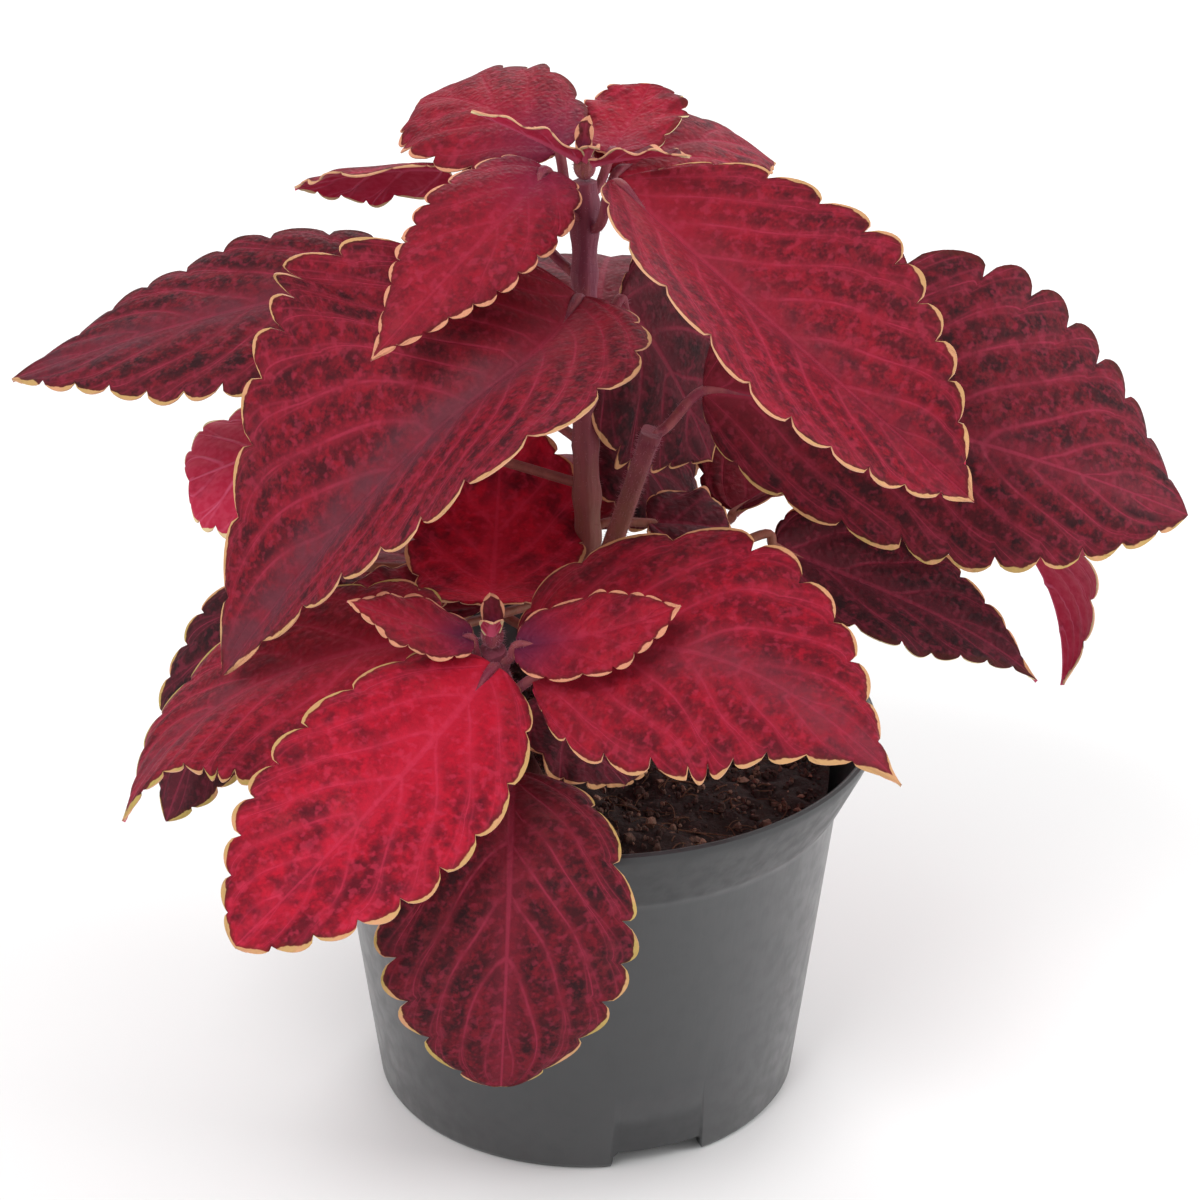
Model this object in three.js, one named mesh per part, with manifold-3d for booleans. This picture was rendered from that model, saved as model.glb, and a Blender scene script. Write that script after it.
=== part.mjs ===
// Coleus in a nursery pot. Millimetres, +Z up, origin on the pot axis at the floor.
import * as THREE from "three";
import { mergeVertices } from "three/addons/utils/BufferGeometryUtils.js";
import Module from "manifold-3d";

const wasm = await Module();
wasm.setup();

// ---- driving dimensions ------------------------------------------------------------
const POT_HEIGHT = 82;
const RIM_RADIUS = 60;
const COLLAR_FOOT_Z = 67; // where the flared collar starts
const COLLAR_FOOT_RADIUS = 52.5;
const BASE_RADIUS = 44;
const WALL = 1.6;
const FOOT_HEIGHT = 5; // ring under the floor of the pot
const FOOT_NOTCHES = 3;
const NOTCH_WIDTH = 20;
const NOTCH_HEIGHT = 4.2;
const NOTCH_BEARING = 20; // degrees right of the front
const SOIL_LEVEL = 70;
const GAP = 0.3; // air left between neighbouring pieces
const STEM_RADIUS = 2.5;
const PETIOLE_RADIUS = 1.1;
const BLADE = 0.9; // thickness of a leaf blade
const SCALLOP_DEPTH = 0.09; // notch between two scallops, as a share of the half width
const SWEEP = 0.42; // how far the side veins lean towards the leaf's tip
const INNER_ROW = 0.52; // row of corners between the midrib and the edge
const HOLE_FLOOR_Z = 50; // bottom of the holes the stems stand in

const COLOURS = {
  pot: "#4c4c4e",
  soil: "#2a211b",
  stem: "#6d3a3c",
  shoot: "#8a2a44",
  leaf: "#9a2137",
};

// ---- small helpers -----------------------------------------------------------------
const vec = (p) => new THREE.Vector3(...p);
const rad = THREE.MathUtils.degToRad;

function toSolid(geometry) {
  const bare = geometry.index ? geometry.clone() : geometry;
  bare.deleteAttribute("normal");
  bare.deleteAttribute("uv");
  const merged = mergeVertices(bare, 1e-4);
  return new wasm.Manifold(
    new wasm.Mesh({
      numProp: 3,
      vertProperties: new Float32Array(merged.attributes.position.array),
      triVerts: new Uint32Array(merged.index.array),
    })
  );
}

function toGeometry(solid) {
  const mesh = solid.getMesh();
  const geometry = new THREE.BufferGeometry();
  geometry.setAttribute("position", new THREE.BufferAttribute(new Float32Array(mesh.vertProperties), 3));
  geometry.setIndex(new THREE.BufferAttribute(new Uint32Array(mesh.triVerts), 1));
  return geometry;
}

// The largest body of a cut solid; loose scraps are dropped.
function mainBody(solid) {
  const bodies = solid.decompose();
  return bodies.reduce((best, body) => (body.volume() > best.volume() ? body : best));
}

function addPiece(group, name, solid, colour, roughness) {
  const geometry = toGeometry(solid);
  geometry.computeVertexNormals();
  const material = new THREE.MeshStandardMaterial({ color: colour, roughness, metalness: 0 });
  const mesh = new THREE.Mesh(geometry, material);
  mesh.name = name;
  group.add(mesh);
  return mesh;
}

// A smooth curve through three or four evenly spaced points.
function through(points, t) {
  const last = points.length - 1;
  const out = new THREE.Vector3();
  points.forEach((point, i) => {
    let weight = 1;
    for (let j = 0; j <= last; j++) {
      if (j !== i) weight *= (t * last - j) / (i - j);
    }
    out.addScaledVector(point, weight);
  });
  return out;
}

// ---- leaf blade --------------------------------------------------------------------
// A blade hangs on its midrib. At t along the midrib and s across it (-1 .. 1) the
// surface is tilted by roll and twist, folded along the midrib, curled down by cup,
// and its cut edge carries rounded scallops and a soft ripple.
class Blade {
  constructor(points, form) {
    this.points = points.map(vec);
    this.form = {
      roll: 0, twist: 0, fold: 0, cup: 0.12, blunt: 1.05,
      skew: 0, lobe: 0.3, scallops: 10, ripple: 0.8, ...form,
    };
    const chord = this.points.at(-1).clone().sub(this.points[0]).normalize();
    this.side = chord.clone().cross(new THREE.Vector3(0, 0, 1)).normalize();
    this.side.applyAxisAngle(chord, rad(this.form.roll));
  }

  frame(t) {
    const step = 1e-3;
    const along = through(this.points, t + step).sub(through(this.points, t - step)).normalize();
    const across = this.side.clone().addScaledVector(along, -this.side.dot(along)).normalize();
    across.applyAxisAngle(along, rad(this.form.twist) * (t - 0.5));
    return { along, across, up: across.clone().cross(along) };
  }

  // Half width of the smooth outline, narrow at both ends.
  halfWidth(t, s) {
    const { width, blunt, skew } = this.form;
    const peak = 0.55 / (0.55 + blunt);
    const top = peak ** 0.55 * (1 - peak) ** blunt;
    const outline = (Math.max(t, 0) ** 0.55 * Math.max(1 - t, 0) ** blunt) / top;
    return (width / 2) * outline * (1 + Math.sign(s) * skew);
  }

  // 1 in the middle of a scallop, less in the notch between two of them.
  notch(t) {
    const phase = Math.abs(Math.sin(Math.PI * this.form.scallops * t));
    return 1 - SCALLOP_DEPTH * (1 - phase ** 0.6);
  }

  point(t, s) {
    const { fold, cup, lobe, ripple } = this.form;
    const { along, across, up } = this.frame(t);
    const reach = Math.abs(s);
    const half = this.halfWidth(t, s) * (1 - (1 - this.notch(t)) * reach ** 4);
    const sweep = THREE.MathUtils.lerp(-lobe, SWEEP, Math.min(1, 3 * t));
    const wave = Math.sin(6 * Math.PI * t + (s > 0 ? 1.7 : 0)) * (half / this.form.width) * 2;
    const lift = half * reach * Math.sin(rad(fold)) - cup * half * s * s + ripple * s * s * wave;
    return through(this.points, t)
      .addScaledVector(across, half * s * Math.cos(rad(fold)))
      .addScaledVector(up, lift)
      .addScaledVector(along, half * reach * sweep);
  }

  normal(t, s) {
    const { up } = this.frame(t);
    if (s === 0 || t < 0.02 || t > 0.98) return up;
    const sideways = this.point(t, s).sub(this.point(t, s * 0.96)).multiplyScalar(Math.sign(s));
    const forward = this.point(t + 0.01, s * 0.9).sub(this.point(t - 0.01, s * 0.9));
    const normal = sideways.cross(forward).normalize();
    return normal.lerp(up, 0.35).normalize();
  }

  // Two alike faces, a thickness apart, joined by a narrow edge band.
  solid() {
    const groups = this.form.scallops;
    const positions = [];
    const corner = (t, s, face) => {
      const p = this.point(t, s).addScaledVector(this.normal(t, s), (face * BLADE) / 2);
      return positions.push(p.x, p.y, p.z) / 3 - 1;
    };
    const triangles = [];
    const add = (a, b, c) => {
      if (a !== b && b !== c && a !== c) triangles.push(a, b, c);
    };
    const faces = [1, -1].map((face) => {
      const rib = Array.from({ length: groups + 1 }, (_, k) => corner(k / groups, 0, face));
      const sides = [1, -1].map((s) => {
        const inner = rib.map((id, k) => {
          return k === 0 || k === groups ? id : corner(k / groups, INNER_ROW * s, face);
        });
        const rim = Array.from({ length: 3 * groups + 1 }, (_, j) => {
          if (j === 0) return rib[0];
          if (j === 3 * groups) return rib[groups];
          return corner(j / (3 * groups), s, face);
        });
        return { inner, rim };
      });
      return { rib, sides };
    });
    faces.forEach(({ rib, sides }, f) => {
      sides.forEach(({ inner, rim }, k) => {
        const put = (f + k) % 2 === 0 ? add : (a, b, c) => add(a, c, b);
        for (let g = 0; g < groups; g++) {
          put(rib[g], inner[g], inner[g + 1]);
          put(rib[g], inner[g + 1], rib[g + 1]);
          put(inner[g], rim[3 * g], rim[3 * g + 1]);
          put(inner[g], rim[3 * g + 1], inner[g + 1]);
          put(inner[g + 1], rim[3 * g + 1], rim[3 * g + 2]);
          put(inner[g + 1], rim[3 * g + 2], rim[3 * g + 3]);
        }
      });
    });
    [0, 1].forEach((k) => {
      const top = faces[0].sides[k].rim;
      const bottom = faces[1].sides[k].rim;
      const put = k === 0 ? add : (a, b, c) => add(a, c, b);
      for (let j = 0; j < top.length - 1; j++) {
        put(top[j], bottom[j], bottom[j + 1]);
        put(top[j], bottom[j + 1], top[j + 1]);
      }
    });
    const geometry = new THREE.BufferGeometry();
    geometry.setAttribute("position", new THREE.Float32BufferAttribute(positions, 3));
    geometry.setIndex(triangles);
    return toSolid(geometry);
  }
}

// ---- stems -------------------------------------------------------------------------
// Section with a few flat sides: eight for a stem, five for a leaf stalk.
function section(radius, sides) {
  const shape = new THREE.Shape();
  for (let i = 0; i < sides; i++) {
    const angle = ((i + 0.5) / sides) * 2 * Math.PI;
    const x = radius * Math.cos(angle);
    const y = radius * Math.sin(angle);
    if (i === 0) shape.moveTo(x, y);
    else shape.lineTo(x, y);
  }
  shape.closePath();
  return shape;
}

function tube(path, radius, steps, sides = 8) {
  const options = { steps, extrudePath: path, bevelEnabled: false, curveSegments: 1 };
  return toSolid(new THREE.ExtrudeGeometry(section(radius, sides), options));
}

const STEM_PATHS = {
  main: [[0, 0, HOLE_FLOOR_Z + GAP], [1, 1, 90], [0, 1, 150], [0, 0, 197]],
  right: [[0, 1, 104], [6, -8, 126], [13, -14.5, 151]],
  front: [[-5, -9, HOLE_FLOOR_Z + GAP], [-9, -17, 72], [-15, -31, 95], [-17.5, -43, 118]],
};
const STEM_STEPS = { main: 12, right: 6, front: 8 };

const STEM_CURVES = Object.fromEntries(
  Object.entries(STEM_PATHS).map(([name, points]) => [name, new THREE.CatmullRomCurve3(points.map(vec))])
);

// Point on a stem at a given height.
function onStem(stem, height) {
  const samples = STEM_CURVES[stem].getPoints(120);
  return samples.reduce((best, p) => (Math.abs(p.z - height) < Math.abs(best.z - height) ? p : best));
}

const buildStem = (name, grown = 0) => tube(STEM_CURVES[name], STEM_RADIUS + grown, STEM_STEPS[name]);

// A stem with the air around it, its foot and its top included.
function stemWithGap(name) {
  const curve = STEM_CURVES[name];
  const ends = [0, 1].map((t) => {
    const reach = curve.getTangent(t).multiplyScalar(t === 0 ? -GAP : GAP);
    const points = [curve.getPoint(t).addScaledVector(reach, -1), curve.getPoint(t).add(reach)];
    return tube(new THREE.LineCurve3(...points), STEM_RADIUS + GAP, 1);
  });
  return buildStem(name, GAP).add(ends[0]).add(ends[1]);
}

// ---- leaves ------------------------------------------------------------------------
// name, stem it grows from, height of its root on the stem, midrib points, blade form
const leaf = (name, stem, root, midrib, form) => ({ name, stem, root, midrib, form });

// A leaf on the far side: it leaves the main stem towards a compass angle (degrees from +X),
// runs level to two thirds of its reach and droops to its tip.
const FAR_LEAF = { start: 0.25, bend: 0.62, rise: 8, droop: 30 };

function farLeaf(name, root, compass, reach, width) {
  const turn = THREE.MathUtils.degToRad(compass);
  const { start, bend, rise, droop } = FAR_LEAF;
  const at = (share, height) => {
    const out = reach * share;
    return [Math.cos(turn) * out, Math.sin(turn) * out, root + height];
  };
  const midrib = [at(start, rise), at(bend, rise), at(1, rise - droop)];
  return leaf(name, "main", root, midrib, { width, scallops: 9 });
}

const LEAVES = [
  leaf("leaf_upper_right", "main", 188, [[6, -6, 199], [38, -34, 178], [72, -51, 152]],
    { width: 56, roll: 20, twist: 30, fold: 25, cup: -0.1, skew: 0.05, lobe: -0.2, scallops: 12 }),
  leaf("leaf_upper_left", "main", 190, [[-7, -8, 202], [-19, -28, 195], [-39, -46, 178]],
    { width: 27, roll: -20, fold: 5, skew: 0.1, lobe: 0.5, scallops: 12 }),
  leaf("leaf_top_back_left", "main", 192, [[-5, 4, 202], [-20, 20, 206], [-33, 34, 203]],
    { width: 36, roll: -20, blunt: 0.95, lobe: 0.1 }),
  leaf("leaf_top_back_right", "main", 193, [[5, 6, 201], [9, 18, 204], [13, 28, 208]],
    { width: 22, fold: 10, blunt: 0.8, scallops: 9 }),
  leaf("leaf_upper_back_right", "main", 186, [[6, 8, 196], [23, 26, 197], [39, 42, 187]],
    { width: 30, roll: 20, fold: 5, scallops: 11 }),
  leaf("leaf_upper_back_left", "main", 178, [[-28, 14, 196], [-43, 20, 193], [-58, 24, 188]],
    { width: 26, roll: 30, fold: -10, scallops: 7 }),
  leaf("leaf_middle_left", "main", 169, [[-1, -12, 178], [-13, -37, 173], [-34, -41, 156], [-70, -36, 109]],
    { width: 72, roll: -20, twist: 10, fold: 20, cup: 0, blunt: 0.85, skew: 0.25, lobe: 0.1,
      scallops: 12 }),
  leaf("leaf_far_left", "main", 160, [[-37, 12, 172], [-71, 12, 166], [-115, 11, 152]],
    { width: 46, roll: -20, twist: 20, fold: 5, blunt: 0.95, skew: -0.05, scallops: 11 }),
  leaf("leaf_middle_back_right", "main", 160, [[7, 8, 170], [17, 14, 153], [26, 18, 131]],
    { width: 46, roll: 65, scallops: 9 }),
  leaf("leaf_far_right", "right", 150, [[23, -8, 157], [70, -18, 152], [118, -16, 134]],
    { width: 62, roll: 55, twist: -40, cup: 0.25, blunt: 0.85, skew: -0.2, lobe: 0.2, scallops: 12 }),
  leaf("leaf_low_right", "main", 102, [[39, 12, 115], [59, 12, 106], [78, 8, 98], [93, 2, 89]],
    { width: 34, roll: 20, fold: 15, blunt: 1.4, scallops: 9 }),
  leaf("leaf_side_left", "main", 132, [[-52, 15, 140], [-67, 15, 134], [-81, 15, 128]],
    { width: 34, roll: -25, blunt: 0.6, scallops: 8 }),
  leaf("leaf_low_back_left", "main", 112, [[-51, 2, 113], [-69, -10, 100], [-85, -20, 68]],
    { width: 34, roll: -20, blunt: 0.8 }),
  leaf("leaf_inner_centre", "main", 130, [[3, 28, 135], [13, 24, 127], [21, 18, 114]],
    { width: 36, scallops: 7 }),
  leaf("leaf_inner_right", "main", 122, [[13, 6, 123], [22, 7, 122], [30, 8, 120]],
    { width: 22, roll: 15, fold: 15, scallops: 7 }),
  leaf("leaf_inner_left", "main", 108, [[-31, -17, 113], [-39, -13, 115], [-47, -10, 116]],
    { width: 26, roll: -10, scallops: 7 }),
  farLeaf("leaf_back_upper", 152, 85, 100, 54),
  farLeaf("leaf_back_left", 142, 135, 105, 54),
  farLeaf("leaf_back_centre", 106, 90, 100, 50),
  farLeaf("leaf_back_low_left", 92, 140, 105, 48),
  leaf("leaf_back_low_right", "main", 110, [[31, 23, 118], [63, 42, 120], [93, 48, 102], [105, 46, 66]],
    { width: 64, roll: 5, twist: 5, fold: 30, scallops: 9 }),
  leaf("leaf_front_shoot_back", "front", 116, [[-18, -30, 122], [-18, -5, 122], [-17, 17, 140]],
    { width: 38, fold: 5, blunt: 0.6, scallops: 9 }),
  leaf("leaf_front_shoot_left", "front", 115, [[-21, -46, 122], [-32, -50, 127], [-44, -53, 133]],
    { width: 14, roll: -30, fold: 5, scallops: 8 }),
  leaf("leaf_front_shoot_right", "front", 115, [[-13, -47, 121], [3, -52, 126], [18, -53, 132]],
    { width: 18, roll: 40, fold: 5, scallops: 8 }),
  leaf("leaf_front_left", "front", 109, [[-17, -48, 117], [-37, -74, 103], [-63, -98, 85]],
    { width: 45, roll: -20, twist: 15, fold: 10, cup: 0.15, blunt: 0.8, skew: 0.05, lobe: 0.1 }),
  leaf("leaf_front_right", "front", 106, [[-10, -47, 114], [23, -54, 122], [58, -79, 108]],
    { width: 57, roll: 30, twist: -25, cup: 0.15, blunt: 1.25, skew: -0.06, scallops: 11 }),
  leaf("leaf_low_left", "front", 110, [[-28, -40, 119], [-68, -37, 105], [-88, -58, 89]],
    { width: 50, twist: 45, fold: 5, blunt: 1.3, skew: -0.1, scallops: 11 }),
  leaf("leaf_front_hanging", "front", 90, [[-14, -46, 93], [-14, -74, 82], [-16, -76, 41]],
    { width: 50, roll: -10, fold: 5, blunt: 0.65, scallops: 9 }),
  leaf("leaf_front_under", "front", 93, [[-8, -20, 96], [1, -30, 91], [8, -38, 86]],
    { width: 30, roll: -15, scallops: 7 }),
];

// Tiny leaves still closed around a growing tip.
const bud = (midrib, form) => ({ midrib, form });

const SHOOT_TIPS = {
  shoot_tip_top: {
    foot: [0, 0, 197.3],
    buds: [
      bud([[-1, -1.5, 202], [-10, -8, 209], [-21, -12, 215]], { width: 8, roll: 10, fold: 28, scallops: 5 }),
      bud([[1.5, -2, 201.5], [11, -11, 206], [20, -18, 208]], { width: 8, roll: -10, fold: 22, scallops: 5 }),
      bud([[0, -1, 201.5], [1, -4, 205], [3, -7, 206]], { width: 4, fold: 20, scallops: 3, ripple: 0 }),
      bud([[0, 0.5, 201.5], [0, 2, 206], [1, 4, 209]], { width: 4, fold: 20, scallops: 3, ripple: 0 }),
    ],
  },
  shoot_tip_front: {
    foot: [-17.5, -43.6, 118.5],
    buds: [
      bud([[-17.5, -44.5, 121.5], [-17.5, -46.5, 125], [-17, -49, 126.5]],
        { width: 5, fold: 20, scallops: 3, ripple: 0 }),
      bud([[-17.5, -43.5, 121.5], [-17.5, -42.5, 126], [-18, -41, 129]],
        { width: 5, fold: 20, scallops: 3, ripple: 0 }),
    ],
  },
};

// Blade with its stalk, cut clear of the stems it grows beside.
function buildLeaf({ stem, root, midrib, form }, clearance) {
  const blade = new Blade(midrib, form);
  const { along, up } = blade.frame(0);
  const start = onStem(stem, root);
  const base = blade.points[0].clone().addScaledVector(up, -0.35);
  const outward = new THREE.Vector3(base.x - start.x, base.y - start.y, 0).normalize();
  const leave = start.clone().addScaledVector(outward, STEM_RADIUS + 1.8).add(vec([0, 0, 1.5]));
  const sunk = through(blade.points, 0.1).addScaledVector(up, -0.35);
  const long = leave.distanceTo(base) > 12;
  const bend = long ? [base.clone().addScaledVector(along, -5)] : [];
  const path = new THREE.CatmullRomCurve3([start, leave, ...bend, base, sunk]);
  const stalk = tube(path, PETIOLE_RADIUS, long ? 7 : 5, 5);
  return mainBody(blade.solid().add(stalk).subtract(clearance));
}

function buildShootTip({ foot, buds }) {
  const heart = new THREE.SphereGeometry(2, 7, 5);
  heart.scale(1, 1, 1.4).translate(foot[0], foot[1], foot[2] + 2.8);
  return buds.reduce((solid, { midrib, form }) => solid.add(new Blade(midrib, form).solid()), toSolid(heart));
}

// ---- pot and soil ------------------------------------------------------------------
const wallRadius = (z) => BASE_RADIUS + ((COLLAR_FOOT_RADIUS - BASE_RADIUS) * z) / COLLAR_FOOT_Z;

// A profile of [radius, height] pairs turned about the pot's axis.
function turned(profile, segments) {
  const outline = profile.map(([r, z]) => new THREE.Vector2(r, z));
  return new THREE.LatheGeometry(outline, segments).rotateX(Math.PI / 2);
}

function buildPot() {
  const floorTop = FOOT_HEIGHT + WALL;
  const profile = [
    [0, FOOT_HEIGHT],
    [BASE_RADIUS - 4, FOOT_HEIGHT],
    [BASE_RADIUS - 3.2, 0],
    [BASE_RADIUS - 0.9, 0],
    [wallRadius(1), 1.2],
    [wallRadius(COLLAR_FOOT_Z - 1.2), COLLAR_FOOT_Z - 1.2],
    [COLLAR_FOOT_RADIUS + 0.9, COLLAR_FOOT_Z + 0.2],
    [RIM_RADIUS - 2.6, POT_HEIGHT - 7],
    [RIM_RADIUS - 0.3, POT_HEIGHT - 2.2],
    [RIM_RADIUS, POT_HEIGHT - 1],
    [RIM_RADIUS - 0.7, POT_HEIGHT],
    [RIM_RADIUS - 1.9, POT_HEIGHT - 0.5],
    [RIM_RADIUS - 4.2, POT_HEIGHT - 7],
    [COLLAR_FOOT_RADIUS - 0.9, COLLAR_FOOT_Z - 0.6],
    [wallRadius(floorTop) - WALL, floorTop],
    [0, floorTop],
  ];
  let pot = toSolid(turned(profile, 56));
  for (let i = 0; i < FOOT_NOTCHES; i++) {
    const notch = new THREE.BoxGeometry(NOTCH_WIDTH, 14, 2 * NOTCH_HEIGHT);
    notch.translate(0, -BASE_RADIUS, 0);
    notch.rotateZ(rad(NOTCH_BEARING + (i * 360) / FOOT_NOTCHES));
    pot = pot.subtract(toSolid(notch));
  }
  return mainBody(pot);
}

// Lumpy surface of the peat, highest around the stems.
function soilHeight(x, y) {
  const mound = 1.6 - Math.hypot(x, y) / 30;
  const lumps = 0.9 * Math.sin(x / 6.3) * Math.cos(y / 5.1) + 0.5 * Math.sin((x + y) / 3.7);
  return SOIL_LEVEL + mound + lumps;
}

function buildSoil() {
  const foot = FOOT_HEIGHT + WALL + GAP;
  const wallGap = WALL + GAP + 0.15;
  const profile = [
    [0, foot],
    [wallRadius(foot) - wallGap - 0.4, foot],
    [wallRadius(COLLAR_FOOT_Z - 3) - wallGap, COLLAR_FOOT_Z - 3],
    [wallRadius(COLLAR_FOOT_Z) - wallGap, SOIL_LEVEL - 1],
    [44, SOIL_LEVEL],
    [36, SOIL_LEVEL],
    [28, SOIL_LEVEL],
    [20, SOIL_LEVEL],
    [12, SOIL_LEVEL],
    [0, SOIL_LEVEL],
  ];
  const geometry = turned(profile, 40);
  const position = geometry.attributes.position;
  for (let i = 0; i < position.count; i++) {
    if (position.getZ(i) > SOIL_LEVEL - 0.5) {
      position.setZ(i, soilHeight(position.getX(i), position.getY(i)));
    }
  }
  return mainBody(toSolid(geometry).subtract(stemWithGap("main")).subtract(stemWithGap("front")));
}

// ---- assembly ----------------------------------------------------------------------
const coleus = new THREE.Group();
coleus.name = "coleus_in_pot";
const pot = new THREE.Group();
const plant = new THREE.Group();
coleus.add(pot, plant);

addPiece(pot, "pot", buildPot(), COLOURS.pot, 0.4);
addPiece(pot, "soil", buildSoil(), COLOURS.soil, 0.95);

addPiece(plant, "stem_main", buildStem("main").add(buildStem("right")), COLOURS.stem, 0.7);
addPiece(plant, "stem_front", buildStem("front"), COLOURS.stem, 0.7);

const clearance = ["main", "right", "front"].map(stemWithGap).reduce((all, stem) => all.add(stem));
for (const [name, tip] of Object.entries(SHOOT_TIPS)) {
  addPiece(plant, name, mainBody(buildShootTip(tip)), COLOURS.shoot, 0.6);
}
for (const entry of LEAVES) {
  addPiece(plant, entry.name, buildLeaf(entry, clearance), COLOURS.leaf, 0.6);
}

export default coleus;
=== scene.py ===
"""A coleus in its nursery pot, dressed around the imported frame.

The plant's own measures are in millimetres, as its leaves and pot are sized. Meshes are made in
metres, in the frame's own place: +Z up, origin on the pot's axis at the floor.
"""

import functools
import logging
import math
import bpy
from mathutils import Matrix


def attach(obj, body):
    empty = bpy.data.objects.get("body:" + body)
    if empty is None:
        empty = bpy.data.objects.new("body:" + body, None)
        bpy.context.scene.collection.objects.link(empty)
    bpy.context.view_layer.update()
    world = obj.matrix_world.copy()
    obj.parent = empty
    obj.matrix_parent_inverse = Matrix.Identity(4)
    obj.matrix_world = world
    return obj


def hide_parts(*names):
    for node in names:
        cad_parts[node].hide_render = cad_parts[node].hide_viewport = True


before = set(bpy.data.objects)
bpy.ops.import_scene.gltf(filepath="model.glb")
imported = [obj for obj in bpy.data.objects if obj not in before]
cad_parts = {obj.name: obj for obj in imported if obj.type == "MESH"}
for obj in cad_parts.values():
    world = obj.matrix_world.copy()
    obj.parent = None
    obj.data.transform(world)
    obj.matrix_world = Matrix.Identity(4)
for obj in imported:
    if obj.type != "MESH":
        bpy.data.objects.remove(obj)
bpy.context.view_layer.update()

import zlib
from dataclasses import dataclass, field
from enum import Enum

import bmesh
import bpy
import numpy as np
from mathutils import Vector

logging.basicConfig(level=logging.INFO, format="%(message)s")
LOG = logging.getLogger("coleus")

MM = 0.001
BODY = "root"
MERGE_DISTANCE = 2e-6
FLAT_DISTANCE = 1e-6

# Share of a distance along the midrib that lies square to a slanted side vein.
VEIN_SLANT = 0.8

Point = tuple[float, float, float]
Colour = tuple[float, float, float, float]
Array = np.ndarray


def srgb(red: int, green: int, blue: int) -> Colour:
    """Turns a screen colour into a shader colour.

    Args:
        red: Red, 0 to 255.
        green: Green, 0 to 255.
        blue: Blue, 0 to 255.

    Returns:
        The colour in linear light, with full alpha.
    """
    parts = [channel / 255 for channel in (red, green, blue)]
    linear = [c / 12.92 if c <= 0.04045 else ((c + 0.055) / 1.055) ** 2.4 for c in parts]
    return (linear[0], linear[1], linear[2], 1.0)


def draws(name: str) -> np.random.Generator:
    """Returns a seeded source of random draws that belongs to one name."""
    return np.random.default_rng(zlib.crc32(name.encode()))


def unit(vectors: Array) -> Array:
    """Returns vectors of length one along the last axis."""
    return vectors / np.maximum(np.linalg.norm(vectors, axis=-1, keepdims=True), 1e-12)


def turn(vectors: Array, axis: Array, angle: Array | float) -> Array:
    """Turns vectors about an axis.

    Args:
        vectors: What is turned.
        axis: Axis of length one, of the same shape or one that spreads to it.
        angle: Angle in radians.

    Returns:
        The turned vectors.
    """
    cosine, sine = np.cos(angle), np.sin(angle)
    along = (vectors * axis).sum(-1, keepdims=True)
    return vectors * cosine + np.cross(axis, vectors) * sine + axis * along * (1 - cosine)


def ramp(values: Array, low: float, high: float) -> Array:
    """Rises smoothly from 0 at low to 1 at high."""
    share = np.clip((values - low) / (high - low), 0, 1)
    return share * share * (3 - 2 * share)


def bell(distance: Array, width: float) -> Array:
    """Falls smoothly from 1 at no distance to near 0 at twice the width."""
    return np.exp(-((distance / width) ** 2))


def round_angles(count: int) -> Array:
    """Returns even angles once round, in radians."""
    return np.linspace(0, 2 * np.pi, count, endpoint=False)


# ---- meshes --------------------------------------------------------------------------


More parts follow.
